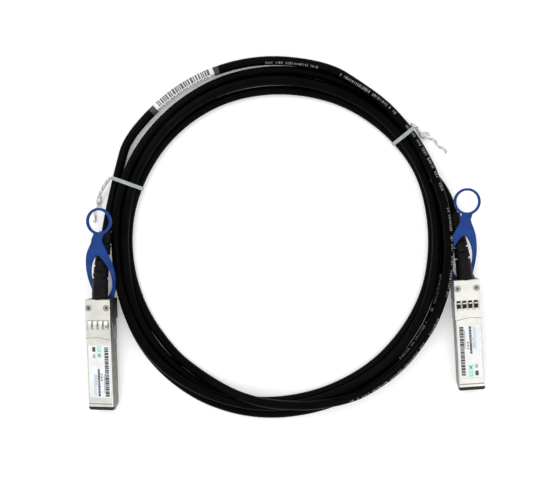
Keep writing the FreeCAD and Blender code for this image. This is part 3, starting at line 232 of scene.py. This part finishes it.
# the cable, from the left boot through its turns to the right boot
cable = {
    "middle": (-0.00374, 0.03259),  # of the coil
    "radius": 0.0024,
    "length": 2.43,
    # out of the left boot, up the left side and over the top, in metres
    "fromLeft": [(-0.09344, 0.03504, 0.00712), (-0.09199, 0.04485, 0.00583),
                 (-0.0903, 0.0546, 0.0035), (-0.0872, 0.0682, 0.0030), (-0.0824, 0.0863, 0.0031),
                 (-0.0540, 0.1139, 0.0031), (-0.0165, 0.1273, 0.0031), (0.0225, 0.1233, 0.0048)],
    # each turn: clock in degrees, then radius and height in millimetres
    "turns": [
        [(30, 90, 6.5), (40, 89.5, 7), (50, 88.5, 7.5), (57, 88, 9), (63, 87.5, 11),
         (69, 87.5, 12.2), (80, 88.5, 12.4), (91, 89, 12.3), (98, 90, 12), (105, 91.5, 10.4),
         (112, 92.5, 8.2), (121, 93.3, 7.4), (136, 94, 7.3), (150, 93.5, 7.4), (157, 92.3, 8.3),
         (164, 90.5, 9.7), (171, 89, 10.8), (182, 87, 10.9), (189, 86, 10), (196, 85, 7.8),
         (204, 83.5, 5), (212, 82.5, 3.4), (222, 81.8, 2.4), (240, 80.2, 2.4), (258, 79.1, 2.4),
         (276, 78.6, 2.6)],
        [(292, 77.8, 3), (308, 77.8, 2.4), (324, 77.8, 2.4), (340, 77.8, 2.4), (356, 77.6, 2.4),
         (12, 78.1, 2.4), (28, 79.5, 2.4), (44, 80.5, 2.9), (58, 82, 2.8), (70, 82.5, 2.4),
         (84, 82, 2.4), (98, 82.6, 2.4), (112, 83.6, 2.4), (128, 83.8, 2.4), (144, 84.5, 2.4),
         (160, 85, 2.4), (174, 86, 2.4), (187, 87.5, 2.4), (198, 88.5, 2.4), (208, 88, 2.4),
         (218, 87, 2.4), (228, 86, 3.2), (238, 84.5, 4.6), (248, 83, 5.7), (260, 80.5, 6.8)],
        [(272, 80, 7), (288, 80.5, 7.2), (304, 81, 7), (320, 81.5, 7), (336, 82, 7),
         (352, 82, 7), (8, 82, 7), (24, 82.5, 7), (40, 83, 7.2), (56, 83.5, 7.2),
         (72, 83.5, 7), (86, 83.5, 7), (98, 84, 6.8), (110, 85.5, 6.4), (122, 86.5, 5.8),
         (136, 87.5, 5.4), (150, 87.5, 5.6), (164, 88, 6), (178, 89, 6.1), (190, 89.5, 6.4),
         (204, 90, 6.8), (218, 90.5, 7.2), (230, 90, 7.2), (242, 88, 7.3), (254, 86, 7.3),
         (266, 84.5, 7.1)],
        [(278, 85, 7), (290, 85.3, 6.9), (302, 85.8, 5.9), (314, 86, 5), (326, 86.5, 4.4),
         (340, 87.5, 3.3), (356, 88, 2.5), (12, 88.5, 2.5), (28, 89, 2.5), (42, 89.5, 2.9),
         (50, 89.5, 3.1), (56, 89, 4.8), (62, 88.5, 6.3), (68, 88.5, 7.4), (80, 88, 7.9),
         (86, 88, 6.8), (92, 88.5, 4.7), (98, 89.5, 3), (108, 90.5, 2.4), (118, 92, 2.4),
         (132, 92.6, 2.4), (148, 92.3, 2.4), (164, 92.4, 2.4), (178, 93.1, 2.4), (190, 93.7, 2.4),
         (202, 93.7, 2.4), (212, 93.1, 2.4), (222, 92.2, 2.4), (232, 90.8, 2.4), (242, 88.8, 2.4),
         (252, 86.2, 2.4), (264, 84.5, 2.4)],
        [(280, 84, 2.8), (296, 83.5, 2.9), (312, 83.5, 2.4), (330, 83.5, 2.4), (348, 83.5, 2.4),
         (6, 83.5, 2.4), (22, 84, 2.4), (36, 84.5, 2.6), (48, 85, 2.9), (56, 85.5, 2.8),
         (61, 86.4, 2.5), (66, 87.7, 2.4)],
    ],
    "toRight": [(0.08682, 0.05491, 0.0030), (0.08909, 0.04482, 0.00481)],
}


def onDial(clock, radius, height):
    turn = math.radians(clock)
    x, y = cable["middle"]
    return Vector((x + radius * math.sin(turn), y + radius * math.cos(turn), height))


def turnPoints():
    rows = [row for turn in cable["turns"] for row in turn]
    clocks = [rows[0][0]]
    for before, after in zip(rows, rows[1:]):
        clocks.append(clocks[-1] + (after[0] - before[0]) % 360)
    points = []
    for n, (clock, radius, height) in enumerate(rows):
        first, last = max(n - 1, 0), min(n + 1, len(rows) - 1)
        step = math.radians(clocks[last] - clocks[first]) / (last - first)
        # the curve runs inside its points, so each lies a little further out
        outward = radius / (0.75 + 0.25 * math.cos(step))
        points.append(onDial(clock, outward * millimetre, height * millimetre))
    return points


# one open curve: quadratic, and reaching its first and last points
def cordCurve(name, points, radius):
    shape = bpy.data.curves.new(name, "CURVE")
    shape.dimensions = "3D"
    spline = shape.splines.new("NURBS")
    spline.points.add(len(points) - 1)
    for point, there in zip(spline.points, points):
        point.co = (*there, 1)
    spline.order_u = 3
    spline.use_endpoint_u = True
    shape.resolution_u = 8
    shape.bevel_depth = radius
    shape.bevel_resolution = 7
    piece = bpy.data.objects.new(name, shape)
    bpy.context.scene.collection.objects.link(piece)
    return piece


def centreLine(piece):
    bare = piece.copy()
    bare.data = piece.data.copy()
    bare.data.bevel_depth = 0
    bpy.context.scene.collection.objects.link(bare)
    bpy.context.view_layer.update()
    current = bpy.context.evaluated_depsgraph_get()
    line = bpy.data.meshes.new_from_object(bare.evaluated_get(current))
    points = [v.co.copy() for v in line.vertices]
    bpy.data.objects.remove(bare)
    return points


fromLeft = [Vector(p) for p in cable["fromLeft"]]
toRight = [Vector(p) for p in cable["toRight"]]
route = fromLeft + turnPoints() + toRight
cord = cordCurve("cable_jacket", route, cable["radius"])
cord.data.materials.append(finishes["cableJacket"])
cordLine = centreLine(cord)
cordAt = [0.0]  # distance along the cable at each point of its middle line
for here, there in zip(cordLine, cordLine[1:]):
    cordAt.append(cordAt[-1] + (there - here).length)
print("cable laid:", len(route), "points,", round(cordAt[-1], 4), "m")


def cordPoint(distance):
    low, high = 0, len(cordAt) - 1
    while high - low > 1:
        middle = (low + high) // 2
        if cordAt[middle] <= distance:
            low = middle
        else:
            high = middle
    share = (distance - cordAt[low]) / (cordAt[high] - cordAt[low])
    return cordLine[low].lerp(cordLine[high], share)


def cordFrame(distance):
    reach = 0.0008
    ahead = (cordPoint(distance + reach) - cordPoint(distance - reach)).normalized()
    across = Vector((ahead.y, -ahead.x, 0)).normalized()
    return cordPoint(distance), across, across.cross(ahead).normalized()


def meshOf(shape, name, turnOutward=True):
    if turnOutward:
        bmesh.ops.recalc_face_normals(shape, faces=shape.faces)
    mesh = bpy.data.meshes.new(name)
    shape.to_mesh(mesh)
    shape.free()
    return mesh


def newPiece(name, mesh, *looks):
    for look in looks:
        mesh.materials.append(finishes[look])
    piece = bpy.data.objects.new(name, mesh)
    bpy.context.scene.collection.objects.link(piece)
    return piece


# printed paper round the cable, with a clear sleeve shrunk over it; distances along the cable
sleeveLabel = {
    "start": 0.0725,
    "end": 0.109,
    "paperRadius": 0.00256,
    "paperLift": 0.00002,
    "bars": (0.0007, 0.001, 0.0014),
    "gaps": (0.0003, 0.0004, 0.0006),
    "margins": (0.0022, 0.0026),  # bare paper before and after the bars
    "barSpan": (-0.85, 0.45),  # where bars and small print lie across the label, in radii
    "printSpan": (0.55, 0.75),
    "overhang": 0.003,
    "sleeveRadius": 0.0029,
    "sleeveLift": 0.00003,
    "neckLift": 0.0002,
    "neck": 0.002,
    "shoulder": 0.0034,
    "ringStep": 0.0015,
    "sides": 28,
}


def ringAt(distance, radius, sides):
    middle, across, up = cordFrame(distance)
    return [middle + across * radius * math.cos(2 * math.pi * n / sides)
            + up * radius * math.sin(2 * math.pi * n / sides) for n in range(sides)]


def tubeMesh(name, stations, sides, inks=None):
    shape = bmesh.new()
    rings = [[shape.verts.new(p) for p in ringAt(distance, radius, sides)]
             for distance, radius in stations]
    for k in range(len(rings) - 1):
        for n in range(sides):
            face = shape.faces.new((rings[k][n], rings[k][(n + 1) % sides],
                                    rings[k + 1][(n + 1) % sides], rings[k + 1][n]))
            face.smooth = True
            if inks:
                face.material_index = inks(k, n)
    return meshOf(shape, name)


def makeLabelPaper(look):
    chance = random.Random(4)
    skin, paper = cable["radius"] + look["paperLift"], look["paperRadius"]
    stations = [(look["start"], skin), (look["start"], paper)]
    bars = []
    at = look["start"] + look["margins"][0]
    while at < look["end"] - look["margins"][1]:
        bar = chance.choice(look["bars"])
        bars.append(len(stations))
        stations += [(at, paper), (at + bar, paper)]
        at += bar + chance.choice(look["gaps"])
    stations += [(look["end"], paper), (look["end"], skin)]
    sides = look["sides"]
    barFrom, barTo = look["barSpan"]
    printFrom, printTo = look["printSpan"]

    def ink(k, n):
        height = math.sin(2 * math.pi * (n + 0.5) / sides)
        side = math.cos(2 * math.pi * (n + 0.5) / sides)
        smallPrint = printFrom < side < printTo and k % 3 > 0
        return 1 if height > 0 and (smallPrint or k in bars and barFrom < side < barTo) else 0

    mesh = tubeMesh("cable_label_paper", stations, sides, ink)
    return newPiece("cable_label_paper", mesh, "labelWhite", "inkDark")


def makeLabelSleeve(look):
    first, last = look["start"] - look["overhang"], look["end"] + look["overhang"]
    outer, shoulder, step = look["sleeveRadius"], look["shoulder"], look["ringStep"]
    skin, neck = cable["radius"] + look["sleeveLift"], cable["radius"] + look["neckLift"]
    opening = [(first, skin), (first, neck), (first + look["neck"], neck),
               (first + shoulder, outer)]
    middle = [(first + shoulder + step * k, outer)
              for k in range(1, int((last - first - 2 * shoulder) / step))]
    closing = [(last - shoulder, outer), (last - look["neck"], neck), (last, neck), (last, skin)]
    mesh = tubeMesh("cable_label_sleeve", opening + middle + closing, look["sides"])
    return newPiece("cable_label_sleeve", mesh, "clearSleeve")


labelPaper = makeLabelPaper(sleeveLabel)
labelSleeve = makeLabelSleeve(sleeveLabel)
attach(labelPaper, "cable")
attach(labelSleeve, "cable")
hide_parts("cable_label")
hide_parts("label_shrink")
print("sleeve label made")


# faint dashes along the jacket
jacketMarks = {
    "lift": 0.00003,
    "height": 0.0017,
    "heights": (0.55, 1.0),  # shares of the height
    "lengths": (0.0003, 0.0009),
    "gaps": (0.00035, 0.0007),
    "printed": 0.86,  # share of the dashes that has kept its ink
    # distance along the cable, and how far the line of marks has rolled outward, in degrees
    "roll": [(0.135, 40), (0.165, 30), (0.195, 0), (0.24, -20), (0.30, -40), (0.395, -42)],
    "runs": [(0.137, 0.168), (0.178, 0.214), (0.222, 0.262), (0.27, 0.318), (0.328, 0.392)],
    "lower": [(1.905, 1.925), (1.932, 1.956)],
    "lowerRoll": 38,
    "rows": 3,
    "columns": 4,
}


def rolledTo(distance):
    marks = jacketMarks["roll"]
    for (near, a), (far, b) in zip(marks, marks[1:]):
        if distance <= far:
            return a + (b - a) * max(0.0, (distance - near) / (far - near))
    return marks[-1][1]


def markPatch(shape, start, end, roll, tall):
    reach = cable["radius"] + jacketMarks["lift"]
    half = tall / 2 / cable["radius"]
    lastRow, lastColumn = jacketMarks["rows"] - 1, jacketMarks["columns"] - 1
    rows = []
    for n in range(lastRow + 1):
        middle, across, up = cordFrame(start + (end - start) * n / lastRow)
        row = []
        for k in range(lastColumn + 1):
            turn = math.radians(roll) + half * (2 * k / lastColumn - 1)
            spot = middle + across * reach * math.sin(turn) + up * reach * math.cos(turn)
            row.append(shape.verts.new(spot))
        rows.append(row)
    for near, far in zip(rows, rows[1:]):
        for k in range(lastColumn):
            face = shape.faces.new((near[k], near[k + 1], far[k + 1], far[k]))
            face.smooth = True


def makeJacketMarks(look):
    chance = random.Random(11)
    shape = bmesh.new()
    for runs, fixed in ((look["runs"], None), (look["lower"], look["lowerRoll"])):
        for start, end in runs:
            at = start
            while at < end:
                long = chance.uniform(*look["lengths"])
                roll = rolledTo(at) if fixed is None else fixed
                if chance.random() < look["printed"]:
                    tall = look["height"] * chance.uniform(*look["heights"])
                    markPatch(shape, at, at + long, roll, tall)
                at += long + chance.uniform(*look["gaps"])
    return newPiece("jacket_marks", meshOf(shape, "jacket_marks"), "cablePrint")


marks = makeJacketMarks(jacketMarks)
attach(marks, "cable")
print("jacket marks made")


# ties: a flat band round the strands, and two tails twisted together; tails in millimetres
band = {"width": 0.0019, "thickness": 0.0005, "slack": 0.0006, "sides": 24, "floor": 0.00005}
twist = {"wide": 0.0009, "thin": 0.0004, "perMetre": 900, "apart": 0.0005, "steps": 14, "sides": 8}
ties = {
    # joined: the point of the tail where the spur leaves it
    "left": dict(clock=289.7, joined=3,
                 tail=[(-91.6, 64.2, 5.5), (-93.6, 61.2, 5.2), (-95.6, 58.4, 4.2),
                       (-97.3, 55.4, 3.0), (-98.6, 51.6, 1.8), (-100.0, 46.0, 1.0),
                       (-100.9, 40.6, 0.9)],
                 spur=[(-97.3, 55.4, 2.6), (-97.6, 52.2, 1.6), (-96.9, 48.6, 0.9)]),
    "right": dict(clock=51.4, joined=3,
                  tail=[(66.6, 91.9, 5.5), (69.4, 90.6, 4.6), (71.6, 87.8, 3.2), (73.6, 85.2, 2.2),
                        (76.4, 85.6, 1.6), (79.8, 83.6, 1.2), (83.2, 80.4, 1.0), (86.6, 77.4, 0.9)],
                  spur=[(73.6, 85.2, 1.9), (74.6, 87.6, 1.3), (77.6, 87.2, 0.9)]),
}


# where the cable's strands cross a line out from the coil's middle: radius and height
def strandsAt(clock):
    turn = math.radians(clock)
    x0, y0 = cable["middle"]
    out, along = (math.sin(turn), math.cos(turn)), (math.cos(turn), -math.sin(turn))
    found = []
    for here, there in zip(cordLine, cordLine[1:]):
        a = (here.x - x0) * along[0] + (here.y - y0) * along[1]
        b = (there.x - x0) * along[0] + (there.y - y0) * along[1]
        if (a < 0) != (b < 0):
            p = here.lerp(there, a / (a - b))
            r = (p.x - x0) * out[0] + (p.y - y0) * out[1]
            if r > 0:
                found.append((r, p.z))
    return found


# the shortest loop round a set of points
def tightLoop(points):
    points = sorted(points)

    def half(run):
        kept = []
        for p in run:
            while len(kept) > 1 and ((kept[-1][0] - kept[-2][0]) * (p[1] - kept[-2][1])
                                     - (kept[-1][1] - kept[-2][1]) * (p[0] - kept[-2][0])) <= 0:
                kept.pop()
            kept.append(p)
        return kept[:-1]

    return half(points) + half(points[::-1])


def makeBand(clock):
    lift = cable["radius"] + band["slack"]
    half = band["thickness"] / 2
    step = 2 * math.pi / band["sides"]
    circle = [(math.cos(k * step), math.sin(k * step)) for k in range(band["sides"])]
    around = [(r + lift * c, z + lift * s) for r, z in strandsAt(clock) for c, s in circle]
    loop = [(r, max(z, half + 0.0001)) for r, z in tightLoop(around)]
    turn = math.radians(clock)
    across = Vector((math.cos(turn), -math.sin(turn), 0))
    shape = bmesh.new()
    rings = []
    count = len(loop)
    for n, (r, z) in enumerate(loop):
        before, after = loop[n - 1], loop[(n + 1) % count]
        tangent = Vector((after[0] - before[0], after[1] - before[1])).normalized()
        normal = Vector((tangent.y, -tangent.x))
        ring = []
        for side, depth in ((-1, -1), (1, -1), (1, 1), (-1, 1)):
            height = max(z + normal.y * depth * half, band["floor"])
            spot = onDial(clock, r + normal.x * depth * half, height)
            ring.append(shape.verts.new(spot + across * side * band["width"] / 2))
        rings.append(ring)
    for n in range(count):
        for k in range(4):
            shape.faces.new((rings[n][k], rings[n][(k + 1) % 4],
                             rings[(n + 1) % count][(k + 1) % 4], rings[(n + 1) % count][k]))
    bmesh.ops.recalc_face_normals(shape, faces=shape.faces)
    return shape


# a smooth line through points given in millimetres
def smoothRun(places, steps):
    points = [Vector(p) * millimetre for p in places]
    first, last = points[0] + (points[0] - points[1]), points[-1] + (points[-1] - points[-2])
    ends = [first] + points + [last]
    run = []
    for a, b, c, d in zip(ends, ends[1:], ends[2:], ends[3:]):
        for k in range(steps):
            t = k / steps
            run.append(0.5 * (2 * b + (c - a) * t + (2 * a - 5 * b + 4 * c - d) * t * t
                              + (3 * b - a - 3 * c + d) * t * t * t))
    return run + [points[-1]]


# an oval strand along a run; it turns as it goes and may lie beside the run
def addStrand(shape, run, wide, thin, perMetre=0, start=0.0, offset=0.0):
    sides = twist["sides"]
    rings = []
    turn = start
    for n, p in enumerate(run):
        ahead = (run[min(n + 1, len(run) - 1)] - run[max(n - 1, 0)]).normalized()
        across = ahead.cross(Vector((0, 0, 1))).normalized()
        up = across.cross(ahead)
        if n:
            turn += perMetre * (p - run[n - 1]).length
        away = across * math.cos(turn) + up * math.sin(turn)
        beside = -across * math.sin(turn) + up * math.cos(turn)
        centre = p + away * offset
        ring = []
        for k in range(sides):
            a = k * 2 * math.pi / sides
            spot = centre + away * thin * math.cos(a) + beside * wide * math.sin(a)
            spot.z = max(spot.z, band["floor"])
            ring.append(shape.verts.new(spot))
        rings.append(ring)
    for a, b in zip(rings, rings[1:]):
        for k in range(sides):
            face = shape.faces.new((a[k], a[(k + 1) % sides], b[(k + 1) % sides], b[k]))
            face.smooth = True
    shape.faces.new(rings[0])
    shape.faces.new(rings[-1][::-1])


def makeTie(name, look):
    shape = makeBand(look["clock"])
    bandFaces = len(shape.faces)
    tail = smoothRun(look["tail"], twist["steps"])
    spur = smoothRun(look["spur"], twist["steps"])
    joined = tail[:twist["steps"] * look["joined"] + 1] + spur[1:]
    wide, thin, perMetre, apart = (twist[k] for k in ("wide", "thin", "perMetre", "apart"))
    for run, start in ((tail, 0.0), (joined, math.pi)):
        addStrand(shape, run, wide, thin, perMetre, start, apart)
    shape.faces.ensure_lookup_table()
    for face in shape.faces[bandFaces:]:
        face.material_index = 1
    return newPiece(name, meshOf(shape, name), "tiePale", "tailPale")


for side, look in ties.items():
    tie = makeTie(side + "_wire_tie", look)
    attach(tie, "cable")
    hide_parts(side + "_tie")
print("ties made")

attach(cord, "cable")
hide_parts("cable_coil", "left_lead", "right_lead")


# where each connector lies: the middle of its shoulder, and its angles in degrees
heads = {
    "left": dict(base=(-0.0949, -0.0101, 0.004127), turn=1.5, pitch=3.3, roll=-14.0, flip=False),
    "right": dict(base=(0.0954, 0.0001, 0.002615), turn=3.8, pitch=3.3, roll=0.0, flip=True),
}

# print on the connectors' labels: fields and bars only
labelPrint = {
    "level": 8.47,
    "over": 0.01,  # the dark field lies on the green one
    "middle": -26.9,
    "fields": [  # x from and to, y from and to, in millimetres on the connector
        ("inkGreen", -1.0, 1.4, -16.9, -13.4),
        ("inkGreen", -1.0, 1.4, -19.8, -17.3),
        ("inkDeepGreen", -0.35, 0.65, -19.2, -17.8),
        ("inkDark", -3.7, -2.0, -16.6, -14.1),
        ("inkGrey", -3.6, -2.1, -20.0, -18.0),
        ("inkGrey", 2.3, 2.85, -38.3, -28.3),
        ("inkBlue", -3.25, -1.95, -39.7, -28.3),
    ],
    "columns": [  # the same, with the bars' and gaps' lengths along the connector
        ("inkDark", 3.0, 5.2, -40.1, -14.2, (0.5, 0.7, 1.0, 1.3), (0.2, 0.3)),
        ("inkDark", -1.05, 0.15, -40.1, -25.5, (0.8, 1.1, 1.4), (0.12, 0.2)),
        ("inkDark", 0.6, 1.55, -31.9, -28.0, (0.3, 0.5), (0.35, 0.5)),
        ("inkGrey", -1.9, -1.4, -34.0, -28.6, (0.8, 1.2), (0.3, 0.4)),
    ],
}


def headPlace(head):
    return (Matrix.Translation(head["base"]) @ Matrix.Rotation(math.radians(head["turn"]), 4, "Z")
            @ Matrix.Rotation(math.radians(head["pitch"]), 4, "X")
            @ Matrix.Rotation(math.radians(head["roll"]), 4, "Y"))


def makeLabelPrint(side, head):
    look, spot = labelPrint, headPlace(head)
    chance = random.Random(7)
    fields = list(look["fields"])
    for ink, x0, x1, y0, y1, bars, gaps in look["columns"]:
        y = y0
        while y < y1:
            end = min(y + chance.choice(bars), y1)
            fields.append((ink, x0, x1, y, end))
            y = end + chance.choice(gaps)
    inks = ["inkDark", "inkGrey", "inkGreen", "inkBlue", "inkDeepGreen"]
    shape = bmesh.new()
    for ink, x0, x1, y0, y1 in fields:
        corners = [(x0, y0), (x1, y0), (x1, y1), (x0, y1)]
        if head["flip"]:
            corners = [(-x, 2 * look["middle"] - y) for x, y in corners]
        level = look["level"] + (look["over"] if ink == "inkDeepGreen" else 0)
        places = [spot @ (Vector((x, y, level)) * millimetre) for x, y in corners]
        face = shape.faces.new([shape.verts.new(p) for p in places])
        face.material_index = inks.index(ink)
    name = side + "_label_print"
    return newPiece(name, meshOf(shape, name, turnOutward=False), *inks)


for side, head in heads.items():
    printed = makeLabelPrint(side, head)
    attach(printed, "cable")
print("label print made")


# painted shade over gaps, the nose bevel and screw drives, with the seams, in millimetres on the
# connector
headShade = {
    "lift": 0.02,
    # height of the finger collar along the connector
    "collar": [(-10.6, 8.5), (-10.2, 8.5), (-10.2, 8.7), (-5.0, 8.7), (-3.71, 9.15), (-1.99, 9.15),
               (-0.7, 8.7), (0.0, 8.7)],
    # painted shade over the fingers, dark on the right connector and grey on the left: x from and
    # to, y from and to
    "left": [(-3.35, -2.65, -3.4, -0.5), (-0.35, 0.35, -3.4, -0.5), (2.65, 3.35, -3.4, -0.5),
             (5.45, 5.95, -3.8, -0.5), (4.2, 5.6, -3.8, -2.9), (-5.6, 6.0, -0.45, -0.15)],
    "right": [(x - 1.35, x + 0.75, low, high) for x in (-4.5, -1.5, 1.5, 4.5)
              for low, high in ((-4.1, -1.8), (-1.15, -0.1))],
    "arch": [(-6.8, -9.7), (-4.5, -9.35), (-2.0, -9.15), (0.0, -9.2), (2.0, -9.45), (4.5, -10.0),
             (6.8, -10.6)],
    "archWidth": 0.26,
    # painted reflection of dark surroundings on the bevel at the nose end
    "lipShade": (-6.4, 6.4, -44.2, -43.75),
    "screws": [(-4.95, 6.3), (4.95, 6.3)],
    "screwRadius": 1.6,
    "screwShadeRim": 0.84,  # inner edge of the painted shade rim round each screw head, as a share of the radius
    "driveTurn": 0.6,
    "driveReach": 0.95,
    "driveHalf": 0.2,
    "screwLevel": 8.5,
    "topLevel": 8.5,
}


def collarHeight(y):
    steps = headShade["collar"]
    for (y0, z0), (y1, z1) in zip(steps, steps[1:]):
        if y0 <= y <= y1 and y1 > y0:
            return z0 + (z1 - z0) * (y - y0) / (y1 - y0)
    return headShade["topLevel"]


# edges holds pairs of points across the strip, one pair after another
def strip(shape, spot, edges, ink):
    pairs = [[shape.verts.new(spot @ (Vector(p) * millimetre)) for p in pair] for pair in edges]
    for (a, b), (c, d) in zip(pairs, pairs[1:]):
        face = shape.faces.new((a, b, d, c))
        face.material_index = ink


def makeHeadShade(side, head):
    look, spot, lift = headShade, headPlace(head), headShade["lift"]
    # painted shade in two depths: dark for the right fingers and the screw drives, grey elsewhere
    dark, grey = 0, 1
    shape = bmesh.new()
    for x0, x1, y0, y1 in look[side]:
        stops = [y0] + [y for y, z in look["collar"] if y0 < y < y1] + [y1]
        edges = [[(x, y, collarHeight(y) + lift) for x in (x0, x1)] for y in stops]
        strip(shape, spot, edges, grey if side == "left" else dark)
    half = look["archWidth"] / 2
    mirror = -1 if head["flip"] else 1
    edges = [[(mirror * x, y + d, collarHeight(y + d) + lift) for d in (-half, half)]
             for x, y in look["arch"]]
    strip(shape, spot, edges, grey)
    x0, x1, y0, y1 = look["lipShade"]
    level = look["topLevel"] + lift
    strip(shape, spot, [[(x, y0, level), (x, y1, level)] for x in (x0, x1)], grey)
    level = look["screwLevel"] + lift
    radii = (look["screwShadeRim"] * look["screwRadius"], look["screwRadius"])
    reach, half = look["driveReach"], look["driveHalf"]
    for x, y in look["screws"]:
        turns = [k * math.pi / 12 for k in range(25)]
        strip(shape, spot, [[(x + math.cos(t) * r, y + math.sin(t) * r, level) for r in radii]
                            for t in turns], grey)
        for turn in (look["driveTurn"], look["driveTurn"] + math.pi / 2):
            c, w = math.cos(turn), math.sin(turn)
            bar = [[(x + c * a - w * b, y + w * a + c * b, level) for b in (-half, half)]
                   for a in (-reach, reach)]
            strip(shape, spot, bar, dark)
    name = side + "_head_shade"
    return newPiece(name, meshOf(shape, name, turnOutward=False), "shadowBlack", "seamAndShadeGrey")


for side, head in heads.items():
    shadePiece = makeHeadShade(side, head)
    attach(shadePiece, "cable")
print("painted head shade made")


# return springs, in millimetres on the connector; on the real connector they shorten as the tab is
# pulled
returnSpring = {
    "radius": 0.4,
    "wire": 0.15,
    "turns": 4,
    "pointsPerTurn": 16,
    "from": 4.8,
    "to": 9.35,
    "level": 0.35,
    "travel": 2.3,
}


def makeSpring(side, head):
    look, spot = returnSpring, headPlace(head)
    radius, wire, level = look["radius"], look["wire"], look["level"]
    steps = look["turns"] * look["pointsPerTurn"]
    run = []
    for n in range(steps + 1):
        turn = 2 * math.pi * n / look["pointsPerTurn"]
        along = look["from"] + (look["to"] - look["from"]) * n / steps
        there = Vector((radius * math.cos(turn), along, level + radius * math.sin(turn)))
        run.append(spot @ (there * millimetre))
    name = side + "_spring_coil"
    shape = bmesh.new()
    addStrand(shape, run, wire * millimetre, wire * millimetre)
    spring = newPiece(name, meshOf(shape, name), "springSteel")
    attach(spring, "cable")
    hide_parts(side + "_return_spring")
    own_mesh(spring)


for side, head in heads.items():
    makeSpring(side, head)
print("return springs made")


# floor, light and camera
studio = {
    "floorSize": 3.0,
    "floorLevel": -0.0002,
    "camera": (-0.0085, 0.0318, 0.550),
    "lens": 69.5,
    "worldStrength": 0.98,
    "floorGlow": 0.16,
    # name, place, size and power
    "lamps": [("key", (-0.5, 0.5, 0.9), 0.6, 3.0), ("fill", (0.6, -0.4, 0.8), 0.8, 1.5)],
}


def makeFloor(look):
    half, level = look["floorSize"] / 2, look["floorLevel"]
    shape = bmesh.new()
    corners = ((-half, -half), (half, -half), (half, half), (-half, half))
    shape.faces.new([shape.verts.new((x, y, level)) for x, y in corners])
    finishes["floorPaint"] = plainFinish(
        "floorPaint", dark=(0.96, 0.96, 0.96), light=(0.98, 0.98, 0.98), patch=0.3,
        roughness=(0.7, 0.8), fine=0.01, depth=0.00001,
        Emission_Color=(1, 1, 1, 1), Emission_Strength=look["floorGlow"])
    newPiece("floor", meshOf(shape, "floor", turnOutward=False), "floorPaint")


def addLamp(name, spot, size, power):
    lamp = bpy.data.lights.new(name, "AREA")
    lamp.shape = "DISK"
    lamp.size = size
    lamp.energy = power
    holder = bpy.data.objects.new(name, lamp)
    holder.location = spot
    holder.rotation_euler = (-Vector(spot)).to_track_quat("-Z", "Y").to_euler()
    bpy.context.scene.collection.objects.link(holder)


makeFloor(studio)
for name, spot, size, power in studio["lamps"]:
    addLamp(name, spot, size, power)
world = bpy.data.worlds.new("studio")
world.use_nodes = True
sky = world.node_tree.nodes["Background"]
sky.inputs["Color"].default_value = (1, 1, 1, 1)
sky.inputs["Strength"].default_value = studio["worldStrength"]
bpy.context.scene.world = world
bpy.context.scene.view_settings.view_transform = "Standard"

lens = bpy.data.cameras.new("view")
lens.lens = studio["lens"]
lens.sensor_width = 36
camera = bpy.data.objects.new("view", lens)
camera.location = studio["camera"]
bpy.context.scene.collection.objects.link(camera)
bpy.context.scene.camera = camera
print("stage set")

bpy.context.view_layer.update()
